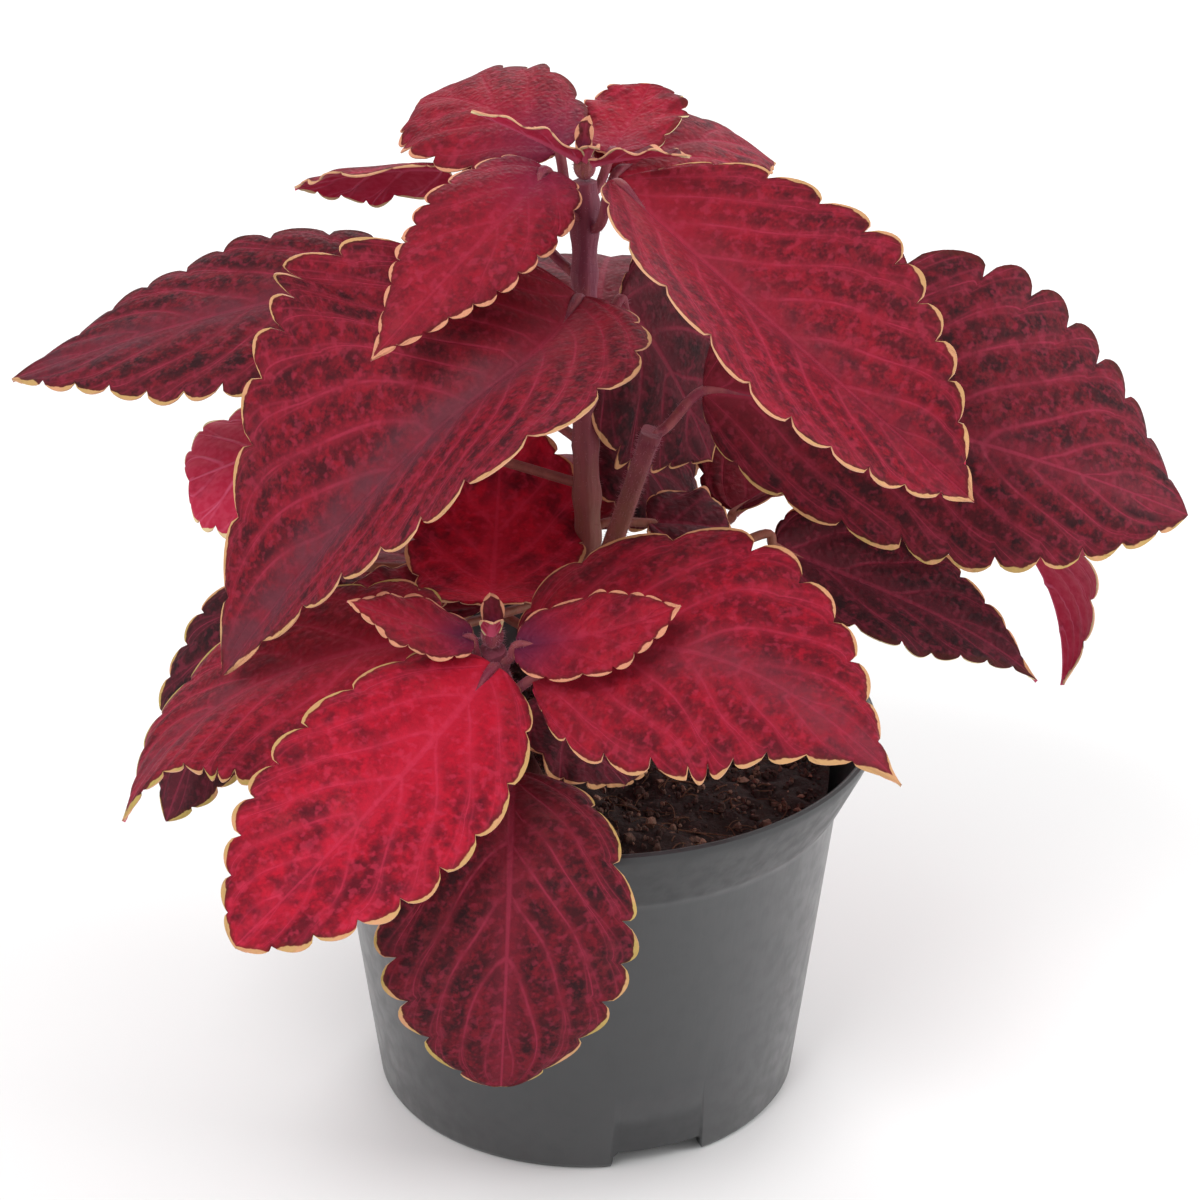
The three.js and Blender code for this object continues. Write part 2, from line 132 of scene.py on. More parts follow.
class MeshParts:
    """Gathers the shells of one piece, with a material slot and marks for each point.

    A mark is a vector that a material reads back by name.
    """

    MARKS = ("vein", "place", "tint")

    def __init__(self, name: str) -> None:
        """Starts an empty piece.

        Args:
            name: Name of the piece.
        """
        self.name = name
        self.points: list[Array] = []
        self.marks: dict[str, list[Array]] = {mark: [] for mark in self.MARKS}
        self.faces: list[tuple[int, ...]] = []
        self.slots: list[int] = []
        self.total = 0

    def add_points(self, points: Array, **marks: Array) -> Array:
        """Adds points in millimetres.

        Args:
            points: Array whose last axis holds x, y and z.
            **marks: Marks for the same points, by name.

        Returns:
            The points' numbers, in the shape of the array.
        """
        shape = points.shape[:-1]
        flat = points.reshape(-1, 3)
        self.points.append(flat * MM)
        for mark, rows in self.marks.items():
            value = marks.get(mark, np.zeros(3))
            rows.append(np.broadcast_to(value, points.shape).reshape(-1, 3))
        ids = np.arange(self.total, self.total + len(flat)).reshape(shape)
        self.total += len(flat)
        return ids

    def add_faces(self, faces: Array, slot: int) -> None:
        """Adds faces of one material slot.

        Args:
            faces: Rows of point numbers.
            slot: Material slot.
        """
        rows = [tuple(int(i) for i in row) for row in faces]
        self.faces.extend(rows)
        self.slots.extend([slot] * len(rows))

    def skin(self, ids: Array, slot: int, flip: bool = False, round_way: bool = False) -> None:
        """Covers a grid of points with quads.

        Args:
            ids: Point numbers, rows by columns.
            slot: Material slot.
            flip: Turns the faces over.
            round_way: Joins the last column to the first.
        """
        if round_way:
            ids = np.concatenate([ids, ids[:, :1]], axis=1)
        corners = [ids[:-1, :-1], ids[:-1, 1:], ids[1:, 1:], ids[1:, :-1]]
        quads = np.stack(corners, axis=-1).reshape(-1, 4)
        self.add_faces(quads[:, ::-1] if flip else quads, slot)

    def cap(self, ring: Array, slot: int, flip: bool = False) -> None:
        """Closes a ring of points with one face."""
        self.add_faces(ring[None, ::-1] if flip else ring[None, :], slot)

    def cap_ends(self, ids: Array, slot: int, flip: bool = False) -> None:
        """Closes the first and last ring of a tube, or turns both faces over."""
        self.cap(ids[0], slot, flip=not flip)
        self.cap(ids[-1], slot, flip=flip)

    def build(self, materials: list[bpy.types.Material], sharp: float = 50.0) -> bpy.types.Object:
        """Makes the object.

        Args:
            materials: One material for each slot.
            sharp: Edges bent more than this many degrees stay sharp.

        Returns:
            The object, linked to the scene.
        """
        mesh = bpy.data.meshes.new(self.name)
        points = np.concatenate(self.points)
        mesh.from_pydata(points.tolist(), [], self.faces)
        for mark, rows in self.marks.items():
            layer = mesh.attributes.new(mark, "FLOAT_VECTOR", "POINT")
            layer.data.foreach_set("vector", np.concatenate(rows).astype(np.float32).ravel())
        for material in materials:
            mesh.materials.append(material)
        mesh.polygons.foreach_set("material_index", self.slots)
        mesh.validate()
        tidy_mesh(mesh)
        mesh.shade_smooth()
        mesh.set_sharp_from_angle(angle=math.radians(sharp))
        piece = bpy.data.objects.new(self.name, mesh)
        bpy.context.scene.collection.objects.link(piece)
        return piece


def tidy_mesh(mesh: bpy.types.Mesh) -> None:
    """Merges points that coincide and drops faces with no area.

    Args:
        mesh: The mesh, which is changed in place.
    """
    work = bmesh.new()
    work.from_mesh(mesh)
    bmesh.ops.remove_doubles(work, verts=work.verts, dist=MERGE_DISTANCE)
    bmesh.ops.dissolve_degenerate(work, edges=work.edges, dist=FLAT_DISTANCE)
    work.to_mesh(mesh)
    work.free()


def report(piece: bpy.types.Object) -> None:
    """Reports a finished piece."""
    LOG.info("%s: %d faces", piece.name, len(piece.data.polygons))


def place(piece: bpy.types.Object, slot: str, *nodes: str) -> None:
    """Puts a finished piece on the frame and reports it.

    Args:
        piece: The piece.
        slot: Not used.
        *nodes: Nodes of the frame that it stands for.
    """
    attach(piece, BODY)
    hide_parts(*nodes)
    report(piece)


# ---- shader graphs -------------------------------------------------------------------


Feed = bpy.types.NodeSocket | float | tuple


class Graph:
    """Adds shader nodes to one tree and joins them."""

    MIX_SHARE, MIX_FIRST, MIX_SECOND, MIX_COLOUR = 0, 6, 7, 2

    def __init__(self, tree: bpy.types.NodeTree) -> None:
        """Works on the given tree."""
        self.tree = tree

    def node(self, kind: str, **settings: object) -> bpy.types.Node:
        """Adds a node and sets its properties.

        Args:
            kind: Type of the node.
            **settings: Properties by name.

        Returns:
            The node.
        """
        made = self.tree.nodes.new(kind)
        for name, value in settings.items():
            setattr(made, name, value)
        return made

    def feed(self, target: bpy.types.NodeSocket, value: Feed) -> None:
        """Joins a socket to the target, or sets the target to a plain value.

        Args:
            target: Socket that is fed.
            value: Socket or plain value.
        """
        if isinstance(value, bpy.types.NodeSocket):
            self.tree.links.new(value, target)
        else:
            target.default_value = value

    def math(self, operation: str, *values: Feed, clamp: bool = False) -> bpy.types.NodeSocket:
        """Does arithmetic on values.

        Args:
            operation: Name of the operation, such as MULTIPLY.
            *values: Sockets or plain numbers.
            clamp: Keeps the result between 0 and 1.

        Returns:
            The result.
        """
        made = self.node("ShaderNodeMath", operation=operation, use_clamp=clamp)
        for target, value in zip(made.inputs, values):
            self.feed(target, value)
        return made.outputs[0]

    def most(self, *values: Feed) -> bpy.types.NodeSocket:
        """Returns the largest of several masks."""
        return functools.reduce(lambda a, b: self.math("MAXIMUM", a, b), values)

    def times(self, *values: Feed) -> bpy.types.NodeSocket:
        """Multiplies values."""
        return functools.reduce(lambda a, b: self.math("MULTIPLY", a, b), values)

    def plus(self, *values: Feed) -> bpy.types.NodeSocket:
        """Adds values."""
        return functools.reduce(lambda a, b: self.math("ADD", a, b), values)

    def blend(self, share: Feed, first: Feed, second: Feed) -> bpy.types.NodeSocket:
        """Mixes two colours.

        Args:
            share: How much of the second shows, 0 to 1.
            first: First colour.
            second: Second colour.

        Returns:
            The mixed colour.
        """
        made = self.node("ShaderNodeMix", data_type="RGBA", clamp_factor=True)
        self.feed(made.inputs[self.MIX_SHARE], share)
        self.feed(made.inputs[self.MIX_FIRST], first)
        self.feed(made.inputs[self.MIX_SECOND], second)
        return made.outputs[self.MIX_COLOUR]

    def between(
        self, value: Feed, low: Feed, high: Feed, first: Feed = 0.0, last: Feed = 1.0
    ) -> bpy.types.NodeSocket:
        """Moves smoothly from one value to another as the input goes from low to high.

        Args:
            value: The input.
            low: Input where the move starts.
            high: Input where it ends.
            first: Value before the start.
            last: Value after the end.

        Returns:
            The value between.
        """
        made = self.node("ShaderNodeMapRange", interpolation_type="SMOOTHSTEP")
        for number, item in enumerate((value, low, high, first, last)):
            self.feed(made.inputs[number], item)
        return made.outputs[0]

    def split(self, vector: Feed) -> tuple[bpy.types.NodeSocket, ...]:
        """Splits a vector into its three numbers.

        Args:
            vector: The vector.

        Returns:
            Its x, y and z.
        """
        made = self.node("ShaderNodeSeparateXYZ")
        self.feed(made.inputs[0], vector)
        return tuple(made.outputs)

    def mark(self, name: str) -> tuple[bpy.types.NodeSocket, ...]:
        """Reads a mark of the mesh, as its three numbers."""
        read = self.node("ShaderNodeAttribute", attribute_type="GEOMETRY", attribute_name=name)
        return self.split(read.outputs["Vector"])

    def vector(self, x: Feed, y: Feed, z: Feed) -> bpy.types.NodeSocket:
        """Joins three values into a vector.

        Args:
            x: Its first number.
            y: Its second.
            z: Its third.

        Returns:
            The vector.
        """
        made = self.node("ShaderNodeCombineXYZ")
        for target, value in zip(made.inputs, (x, y, z)):
            self.feed(target, value)
        return made.outputs[0]

    def where(self) -> bpy.types.NodeSocket:
        """Returns the place on the object, in metres."""
        return self.node("ShaderNodeTexCoord").outputs["Object"]

    def noise(self, size: Feed, detail: float = 3.0, at: Feed | None = None) -> bpy.types.NodeSocket:
        """Returns soft noise, about 0.5 on average.

        Args:
            size: Blobs per unit of length.
            detail: How many finer layers there are.
            at: Where it is read, or the place on the object.

        Returns:
            The noise.
        """
        made = self.node("ShaderNodeTexNoise")
        self.feed(made.inputs["Vector"], self.where() if at is None else at)
        self.feed(made.inputs["Scale"], size)
        made.inputs["Detail"].default_value = detail
        return made.outputs["Fac"]

    def place_group(self, tree: bpy.types.NodeTree, **values: Feed) -> bpy.types.NodeOutputs:
        """Places a node group and feeds its inputs, whose spaces are written as underscores.

        Args:
            tree: The group.
            **values: Inputs by name.

        Returns:
            The group's outputs.
        """
        made = self.node("ShaderNodeGroup", node_tree=tree)
        for name, value in values.items():
            self.feed(made.inputs[name.replace("_", " ")], value)
        return made.outputs


class EffectGroup:
    """A shader node group under construction, whose inputs and outputs are plain values."""

    SOCKET = "NodeSocketFloat"

    def __init__(self, name: str, inputs: tuple[str, ...], outputs: tuple[str, ...]) -> None:
        """Opens a new group.

        Args:
            name: Name of the group.
            inputs: Names of its inputs.
            outputs: Names of its outputs.
        """
        self.tree = bpy.data.node_groups.new(name, "ShaderNodeTree")
        for way, labels in (("INPUT", inputs), ("OUTPUT", outputs)):
            for label in labels:
                self.tree.interface.new_socket(label, in_out=way, socket_type=self.SOCKET)
        self.graph = Graph(self.tree)
        self.inputs = self.graph.node("NodeGroupInput").outputs
        self.outputs = self.graph.node("NodeGroupOutput").inputs

    def put(self, **values: Feed) -> bpy.types.NodeTree:
        """Feeds the outputs.

        Args:
            **values: What each output gives, by name.

        Returns:
            The finished group.
        """
        for name, value in values.items():
            self.graph.feed(self.outputs[name], value)
        return self.tree


@functools.cache
def vein_net() -> bpy.types.NodeTree:
    """Builds the leaf veins: midrib, side veins, their forks and the fine net between them.

    Returns:
        The group. Distances in it are in millimetres.
    """
    group = EffectGroup("vein_net", ("Count", "Reach", "Along", "Across", "Spacing", "Net Size"),
                        ("Lines", "Glow", "Cell"))
    g, given = group.graph, group.inputs
    wrapped = g.math("FRACT", g.plus(given["Count"], 0.5))
    off = g.math("ABSOLUTE", g.math("SUBTRACT", wrapped, 0.5))
    off_mm = g.times(off, given["Spacing"], VEIN_SLANT)
    across = g.math("ABSOLUTE", given["Across"])

    side_width = g.between(given["Reach"], 0.0, 1.0, 0.75, 0.3)
    side = g.between(off_mm, g.times(side_width, 0.15), side_width, 1.0, 0.0)
    rib_width = g.between(given["Along"], 0.0, 1.0, 1.1, 0.35)
    rib = g.between(across, g.times(rib_width, 0.3), rib_width, 1.0, 0.0)

    forked = g.between(given["Reach"], 0.4, 0.6)
    spread = g.between(given["Reach"], 0.4, 1.1, 0.0, 0.34)
    fork_off = g.math("ABSOLUTE", g.math("SUBTRACT", off, spread))
    fork_mm = g.times(fork_off, given["Spacing"], VEIN_SLANT)
    fork = g.times(g.between(fork_mm, 0.05, 0.45, 0.45, 0.0), forked)

    strength = g.between(g.noise(170.0, 2.0), 0.35, 0.62, 0.25, 1.0)
    lines = g.most(rib, g.times(g.most(side, fork), strength))
    near = g.most(
        g.between(off_mm, 0.1, 2.6, 1.0, 0.0),
        g.between(across, 0.2, 4.5, 1.0, 0.0),
        g.times(g.between(fork_mm, 0.0, 1.4, 0.6, 0.0), forked),
    )
    cells = g.node("ShaderNodeTexVoronoi", voronoi_dimensions="3D", feature="DISTANCE_TO_EDGE")
    g.feed(cells.inputs["Vector"], g.where())
    g.feed(cells.inputs["Scale"], g.math("DIVIDE", 1 / MM, given["Net Size"]))
    return group.put(Lines=lines, Glow=near, Cell=g.between(cells.outputs["Distance"], 0.0, 0.45))


@functools.cache
def blotches() -> bpy.types.NodeTree:
    """Builds soft blotches with ragged edges.

    Returns:
        The group. Its Mask is 1 inside a blotch, and Fine is the finer noise in it.
    """
    group = EffectGroup("blotches", ("Size", "Cover"), ("Mask", "Fine"))
    g, given = group.graph, group.inputs
    coarse = g.noise(g.math("DIVIDE", 1.0, given["Size"]), 2.0)
    fine = g.noise(g.math("DIVIDE", 4.5, given["Size"]), 3.0)
    mixed = g.plus(g.times(coarse, 0.68), g.times(fine, 0.32))
    start = g.math("SUBTRACT", 0.72, g.times(given["Cover"], 0.4))
    return group.put(Mask=g.between(mixed, start, g.plus(start, 0.2)), Fine=fine)


@functools.cache
def pale_margin() -> bpy.types.NodeTree:
    """Builds the thin pale line along a leaf's cut edge, with a duller line inside it.

    Returns:
        The group. Edge and Width are in millimetres.
    """
    group = EffectGroup("pale_margin", ("Edge", "Along", "Width"), ("Pale", "Dull"))
    g, given = group.graph, group.inputs
    ragged = g.times(g.math("SUBTRACT", g.noise(260.0, 3.0), 0.5), 1.8)
    edge = g.plus(given["Edge"], ragged)
    width = g.times(given["Width"], g.between(given["Along"], 0.0, 0.12, 0.35, 1.0))
    pale = g.between(edge, g.times(width, 0.75), width, 1.0, 0.0)
    dull = g.between(edge, width, g.times(width, 2.0), 1.0, 0.0)
    return group.put(Pale=pale, Dull=dull)


@functools.cache
def fine_grain() -> bpy.types.NodeTree:
    """Builds fine grain stretched along Z, for stems and moulded plastic.

    Returns:
        The group. Height feeds a bump, and Streak is a mask.
    """
    group = EffectGroup("fine_grain", ("Size", "Stretch"), ("Height", "Streak"))
    g, given = group.graph, group.inputs
    x, y, z = g.split(g.where())
    drawn = g.vector(x, y, g.math("DIVIDE", z, given["Stretch"]))
    height = g.noise(g.math("DIVIDE", 1.0, given["Size"]), 4.0, drawn)
    streak = g.noise(g.math("DIVIDE", 0.22, given["Size"]), 3.0, drawn)
    return group.put(Height=height, Streak=g.between(streak, 0.35, 0.7))


@dataclass(frozen=True)
class Gloss:
    """Numbers of a surface that are the same all over it.

    Attributes:
        specular: Specular level.
        sheen: Sheen weight.
        sheen_roughness: Sheen roughness.
        sheen_tint: Sheen colour.
        coat: Clear coat weight.
        coat_roughness: Clear coat roughness.
    """

    specular: float = 0.5
    sheen: float = 0.0
    sheen_roughness: float = 0.5
    sheen_tint: Colour = (1.0, 1.0, 1.0, 1.0)
    coat: float = 0.0
    coat_roughness: float = 0.3


class Surface:
    """A material with one Principled shader."""

    def __init__(self, name: str, gloss: Gloss) -> None:
        """Starts the material.

        Args:
            name: Name of the material.
            gloss: Its even numbers.
        """
        self.material = bpy.data.materials.new(name)
        self.material.use_nodes = True
        self.graph = Graph(self.material.node_tree)
        self.shader = self.material.node_tree.nodes["Principled BSDF"]
        sockets = self.shader.inputs
        sockets["Specular IOR Level"].default_value = gloss.specular
        sockets["Sheen Weight"].default_value = gloss.sheen
        sockets["Sheen Roughness"].default_value = gloss.sheen_roughness
        sockets["Sheen Tint"].default_value = gloss.sheen_tint
        sockets["Coat Weight"].default_value = gloss.coat
        sockets["Coat Roughness"].default_value = gloss.coat_roughness

    def finish(self, colour: Feed, roughness: Feed, height: Feed, depth: float) -> bpy.types.Material:
        """Feeds the shader.

        Args:
            colour: Base colour.
            roughness: Roughness.
            height: Height of the fine relief, 0 to 1.
            depth: How deep that relief is, in metres.

        Returns:
            The material.
        """
        bump = self.graph.node("ShaderNodeBump")
        bump.inputs["Strength"].default_value = 1.0
        bump.inputs["Distance"].default_value = depth
        self.graph.feed(bump.inputs["Height"], height)
        self.graph.feed(self.shader.inputs["Base Color"], colour)
        self.graph.feed(self.shader.inputs["Roughness"], roughness)
        self.graph.feed(self.shader.inputs["Normal"], bump.outputs["Normal"])
        return self.material


# ---- finishes ------------------------------------------------------------------------

# Usual spread of the fine noise inside blotches, for surfaces that vary with it.
FINE_SPREAD = (0.3, 0.7)
CLOUD_SPREAD = (0.3, 0.6)


@dataclass(frozen=True)
class LeafShades:
    """Colours of a leaf's upper face at one end of its range, from shaded to sunlit.

    Attributes:
        spot: Mottled spots between the veins.
        face: The face around them.
        vein: On the veins.
    """

    spot: Colour
    face: Colour
    vein: Colour


# Lit and shaded copies of the leaf's colours, between which its painted light blends.
SHADED = LeafShades(spot=srgb(36, 24, 26), face=srgb(72, 27, 35), vein=srgb(122, 42, 60))
SUNLIT = LeafShades(spot=srgb(72, 16, 28), face=srgb(184, 22, 46), vein=srgb(198, 48, 76))


class BladeMarks:
    """What a blade's mesh says about each place on it.

    Attributes:
        count: Side veins between the base and this place.
        reach: Place between midrib and edge, 0 to 1.
        edge: Distance from the cut edge in millimetres.
        along: Place along the midrib, 0 to 1.
        across: Distance from the midrib in millimetres.
        spacing: Distance between two side veins in millimetres.
    """

    def __init__(self, graph: Graph) -> None:
        """Reads the marks.

        Args:
            graph: The material's graph.
        """
        self.graph = graph
        self.count, self.reach, self.edge = graph.mark("vein")
        self.along, self.across, self.spacing = graph.mark("place")

    def veins(self, net_size: float) -> bpy.types.NodeOutputs:
        """Places the vein net.

        Args:
            net_size: Cells of the fine net, in millimetres.

        Returns:
            The group's outputs.
        """
        return self.graph.place_group(vein_net(), Count=self.count, Reach=self.reach, Along=self.along,
                                      Across=self.across, Spacing=self.spacing, Net_Size=net_size)

    def margin(self, width: float) -> bpy.types.NodeOutputs:
        """Places the pale margin."""
        return self.graph.place_group(pale_margin(), Edge=self.edge, Along=self.along, Width=width)


@dataclass(frozen=True)
class LeafFinish:
    """Velvety upper face: crimson mottled with maroon, pinker veins and a thin pale edge.

    Attributes:
        name: Name of the material.
        margin: Colour of the pale edge.
        margin_width: Its width in millimetres.
        net_size: Cells of the pebbled relief, in millimetres.
        spot_size: Size of the mottled spots, in metres.
        heart: How much purple spreads from the leaf's base, 0 to 1.
        vein_show: How strongly the veins show, 0 to 1.
        spot_show: How strongly the mottling shows, 0 to 1.
        dusk: Colour of a young leaf's dusky purple heart, and of the painted sheen along an older leaf's
            midrib.
    """

    name: str
    margin: Colour
    margin_width: float = 0.75
    net_size: float = 2.1
    spot_size: float = 0.003
    heart: float = 0.0
    vein_show: float = 1.0
    spot_show: float = 1.0
    dusk: Colour = srgb(94, 50, 60)

    def material(self) -> bpy.types.Material:
        """Builds the material.

        Returns:
            The material.
        """
        paint = LeafPaint(self)
        paint.wear()
        paint.darken()
        paint.mottle()
        paint.draw_veins()
        paint.lay_dusk()
        paint.draw_margin()
        return paint.done()


class LeafPaint:
    """Lays the colours of a leaf's upper face one over another, up to its pale edge.

    Attributes:
        body: What is painted so far.
    """

    VELVET = Gloss(specular=0.08, sheen=0.03, sheen_roughness=0.4, sheen_tint=srgb(214, 176, 214))
    WORN = srgb(112, 58, 62)
    GREEN = srgb(166, 152, 78)
    DULL = srgb(70, 34, 24)

    SPOT_COVER, CLOUD_COVER, PATCH_COVER = 0.82, 0.5, 0.66
    CLOUD_SIZE, PATCH_SIZE = 0.024, 0.009
    PAINTED_LIGHT_CURVE = 1.3
    WEAR, DULL_SHARE, GLOW_SHARE, GLOW_CLEARS = 0.7, 0.5, 0.2, 0.5
    CELL_RELIEF, VEIN_RELIEF, FUZZ_RELIEF = 0.6, 0.5, 0.25
    RELIEF_DEPTH = 0.0002

    def __init__(self, finish: LeafFinish) -> None:
        """Reads the blade's marks and starts with the plain face.

        Args:
            finish: The finish that is painted.
        """
        self.finish = finish
        self.surface = Surface(finish.name, self.VELVET)
        g = self.graph = self.surface.graph
        self.marks = BladeMarks(g)
        self.painted_light, self.dusk_and_sheen, self.green = g.mark("tint")
        self.veins = self.marks.veins(finish.net_size)
        self.edges = self.marks.margin(finish.margin_width)
        self.spots = g.place_group(blotches(), Size=finish.spot_size, Cover=self.SPOT_COVER)
        self.clouds = g.place_group(blotches(), Size=self.CLOUD_SIZE, Cover=self.CLOUD_COVER)
        self.patches = g.place_group(blotches(), Size=self.PATCH_SIZE, Cover=self.PATCH_COVER)
        self.cloudy = g.between(self.clouds["Fine"], *CLOUD_SPREAD)
        self.from_base = g.plus(self.marks.along, g.times(self.marks.reach, 0.6))
        # Painted light and shade: the leaf's colours blend from the shaded set to the sunlit set by its
        # first tint mark.
        sunlight = g.math("POWER", self.painted_light, self.PAINTED_LIGHT_CURVE)
        self.spot = g.blend(sunlight, SHADED.spot, SUNLIT.spot)
        self.vein = g.blend(sunlight, SHADED.vein, SUNLIT.vein)
        self.body = g.blend(sunlight, SHADED.face, SUNLIT.face)

    def lay(self, share: Feed, colour: Feed) -> None:
        """Lays a colour over what is painted so far."""
        self.body = self.graph.blend(share, self.body, colour)

    def wear(self) -> None:
        """Dulls worn stretches."""
        self.lay(self.graph.times(self.clouds["Mask"], self.spots["Fine"], self.WEAR), self.WORN)

    def darken(self) -> None:
        """Lays dark patches on sunlit leaves, and a shade near every edge."""
        g = self.graph
        sunlit = g.between(self.painted_light, 0.4, 0.9, 0.0, 0.8)
        self.lay(g.times(self.patches["Mask"], sunlit, g.between(self.from_base, 0.2, 0.8)), self.spot)
        self.lay(g.times(g.between(self.marks.reach, 0.3, 0.95, 0.0, 0.3), self.cloudy), self.spot)

    def mottle(self) -> None:
        """Lays spots and grain, thinner over veins, at the base and in the sun, then pink flecks."""
        g = self.graph
        clear = g.times(
            g.math("SUBTRACT", 1.0, g.times(self.veins["Glow"], self.GLOW_CLEARS)),
            g.between(self.from_base, 0.15, 0.75, 0.3, 1.0),
            g.between(self.painted_light, 0.3, 0.9, 1.0, 0.5),
        )
        cluster = g.between(self.clouds["Fine"], 0.35, 0.65, 0.6, 1.0)
        self.lay(g.times(self.spots["Mask"], cluster, clear, self.finish.spot_show), self.spot)
        self.lay(g.times(g.between(g.noise(760.0, 3.0), 0.42, 0.6, 0.0, 0.45), clear), self.spot)
        self.lay(g.between(g.noise(540.0, 2.0), 0.52, 0.68, 0.0, 0.4), self.vein)

    def draw_veins(self) -> None:
        """Draws the veins, stronger on shaded leaves, with a glow around them."""
        g = self.graph
        lines = g.times(self.veins["Lines"], g.between(self.painted_light, 0.2, 1.0, 0.62, 0.34))
        warm = g.plus(lines, g.times(self.veins["Glow"], self.GLOW_SHARE))
        self.lay(g.times(warm, self.finish.vein_show), self.vein)

    def lay_dusk(self) -> None:
        """Lays dusky purple around a young leaf's base, or else a painted purple-grey sheen along the
        midrib.
        """
        g, marks = self.graph, self.marks
        if self.finish.heart:
            from_heart = g.plus(g.times(marks.along, 2.2), g.times(marks.reach, 0.5))
            dusky = g.between(from_heart, 0.1, 1.1, self.finish.heart, 0.0)
        else:
            # Painted sheen: the purple-grey sheen that the velvet shows where the blade turns away, laid
            # as colour along the midrib.
            dusky = g.times(
                g.between(g.math("ABSOLUTE", marks.across), 1.5, 9.0, 1.0, 0.0),
                g.between(self.clouds["Fine"], *CLOUD_SPREAD, 0.45, 1.0),
                g.between(marks.along, 0.1, 0.5, 0.25, 1.0),
            )
        self.lay(g.times(dusky, self.dusk_and_sheen), self.finish.dusk)

    def draw_margin(self) -> None:
        """Draws the pale edge, greenish in places, with a duller line inside it."""
        g = self.graph
        self.lay(g.times(self.edges["Dull"], self.DULL_SHARE), self.DULL)
        greenish = g.math("MULTIPLY", self.green, self.cloudy, clamp=True)
        shown = g.between(self.green, -1.0, 0.0)
        self.lay(g.times(self.edges["Pale"], shown), g.blend(greenish, self.finish.margin, self.GREEN))

    def done(self) -> bpy.types.Material:
        """Adds the pebbled relief.

        Returns:
            The finished material.
        """
        g = self.graph
        cells = g.times(self.veins["Cell"], self.CELL_RELIEF)
        relief = g.math("SUBTRACT", cells, g.times(self.veins["Lines"], self.VEIN_RELIEF))
        relief = g.plus(relief, g.times(g.noise(2600.0, 2.0), self.FUZZ_RELIEF))
        roughness = g.between(self.spots["Fine"], *FINE_SPREAD, 0.52, 0.7)
        return self.surface.finish(self.body, roughness, relief, self.RELIEF_DEPTH)


@dataclass(frozen=True)
class UndersideFinish:
    """Paler, pinker under face with raised veins.

    Attributes:
        name: Name of the material.
        face: Colour between the veins.
        shade: Colour of its darker blotches.
        down: Colour of its fine down.
        vein: Colour of the veins.
        margin: Colour of the edge.
    """

    name: str = "leaf_underside"
    face: Colour = srgb(170, 32, 62)
    shade: Colour = srgb(112, 26, 48)
    down: Colour = srgb(196, 74, 100)
    vein: Colour = srgb(206, 92, 124)
    margin: Colour = srgb(214, 196, 150)

    NET_SIZE = 1.9
    MARGIN_WIDTH = 0.6
    RELIEF_DEPTH = 0.00015

    def material(self) -> bpy.types.Material:
        """Builds the material.

        Returns:
            The material.
        """
        surface = Surface(self.name, Gloss(specular=0.15, sheen=0.08, sheen_tint=srgb(230, 190, 210)))
        g = surface.graph
        marks = BladeMarks(g)
        veins, edges = marks.veins(self.NET_SIZE), marks.margin(self.MARGIN_WIDTH)
        spots = g.place_group(blotches(), Size=0.007, Cover=0.5)
        body = g.blend(g.times(spots["Mask"], 0.45), self.face, self.shade)
        body = g.blend(g.times(g.between(g.noise(700.0, 3.0), 0.4, 0.62), 0.25), body, self.down)
        body = g.blend(g.times(veins["Lines"], 0.6), body, self.vein)
        body = g.blend(edges["Pale"], body, self.margin)
        relief = g.plus(veins["Lines"], g.times(spots["Fine"], 0.4))
        roughness = g.between(spots["Fine"], *FINE_SPREAD, 0.55, 0.7)
        return surface.finish(body, roughness, relief, self.RELIEF_DEPTH)


@dataclass(frozen=True)
class EdgeFinish:
    """The cut edge itself, pale as dry parchment.

    Attributes:
        name: Name of the material.
        colour: Main colour.
        tinge: Colour of its greener stretches.
        notch: Colour in the notches between the teeth.
    """

    name: str = "leaf_edge"
    colour: Colour = srgb(206, 152, 118)
    tinge: Colour = srgb(158, 130, 80)
    notch: Colour = srgb(118, 52, 46)

    RELIEF_DEPTH = 0.0001

    def material(self) -> bpy.types.Material:
        """Builds the material.

        Returns:
            The material.
        """
        surface = Surface(self.name, Gloss(specular=0.35, sheen=0.1))
        g = surface.graph
        spots = g.place_group(blotches(), Size=0.009, Cover=0.5)
        body = g.blend(g.times(spots["Mask"], 0.7), self.colour, self.tinge)
        in_notch = g.between(BladeMarks(g).edge, 0.3, 0.75, 0.0, 0.6)
        body = g.blend(in_notch, body, self.notch)
        roughness = g.between(spots["Fine"], *FINE_SPREAD, 0.5, 0.65)
        return surface.finish(body, roughness, spots["Fine"], self.RELIEF_DEPTH)


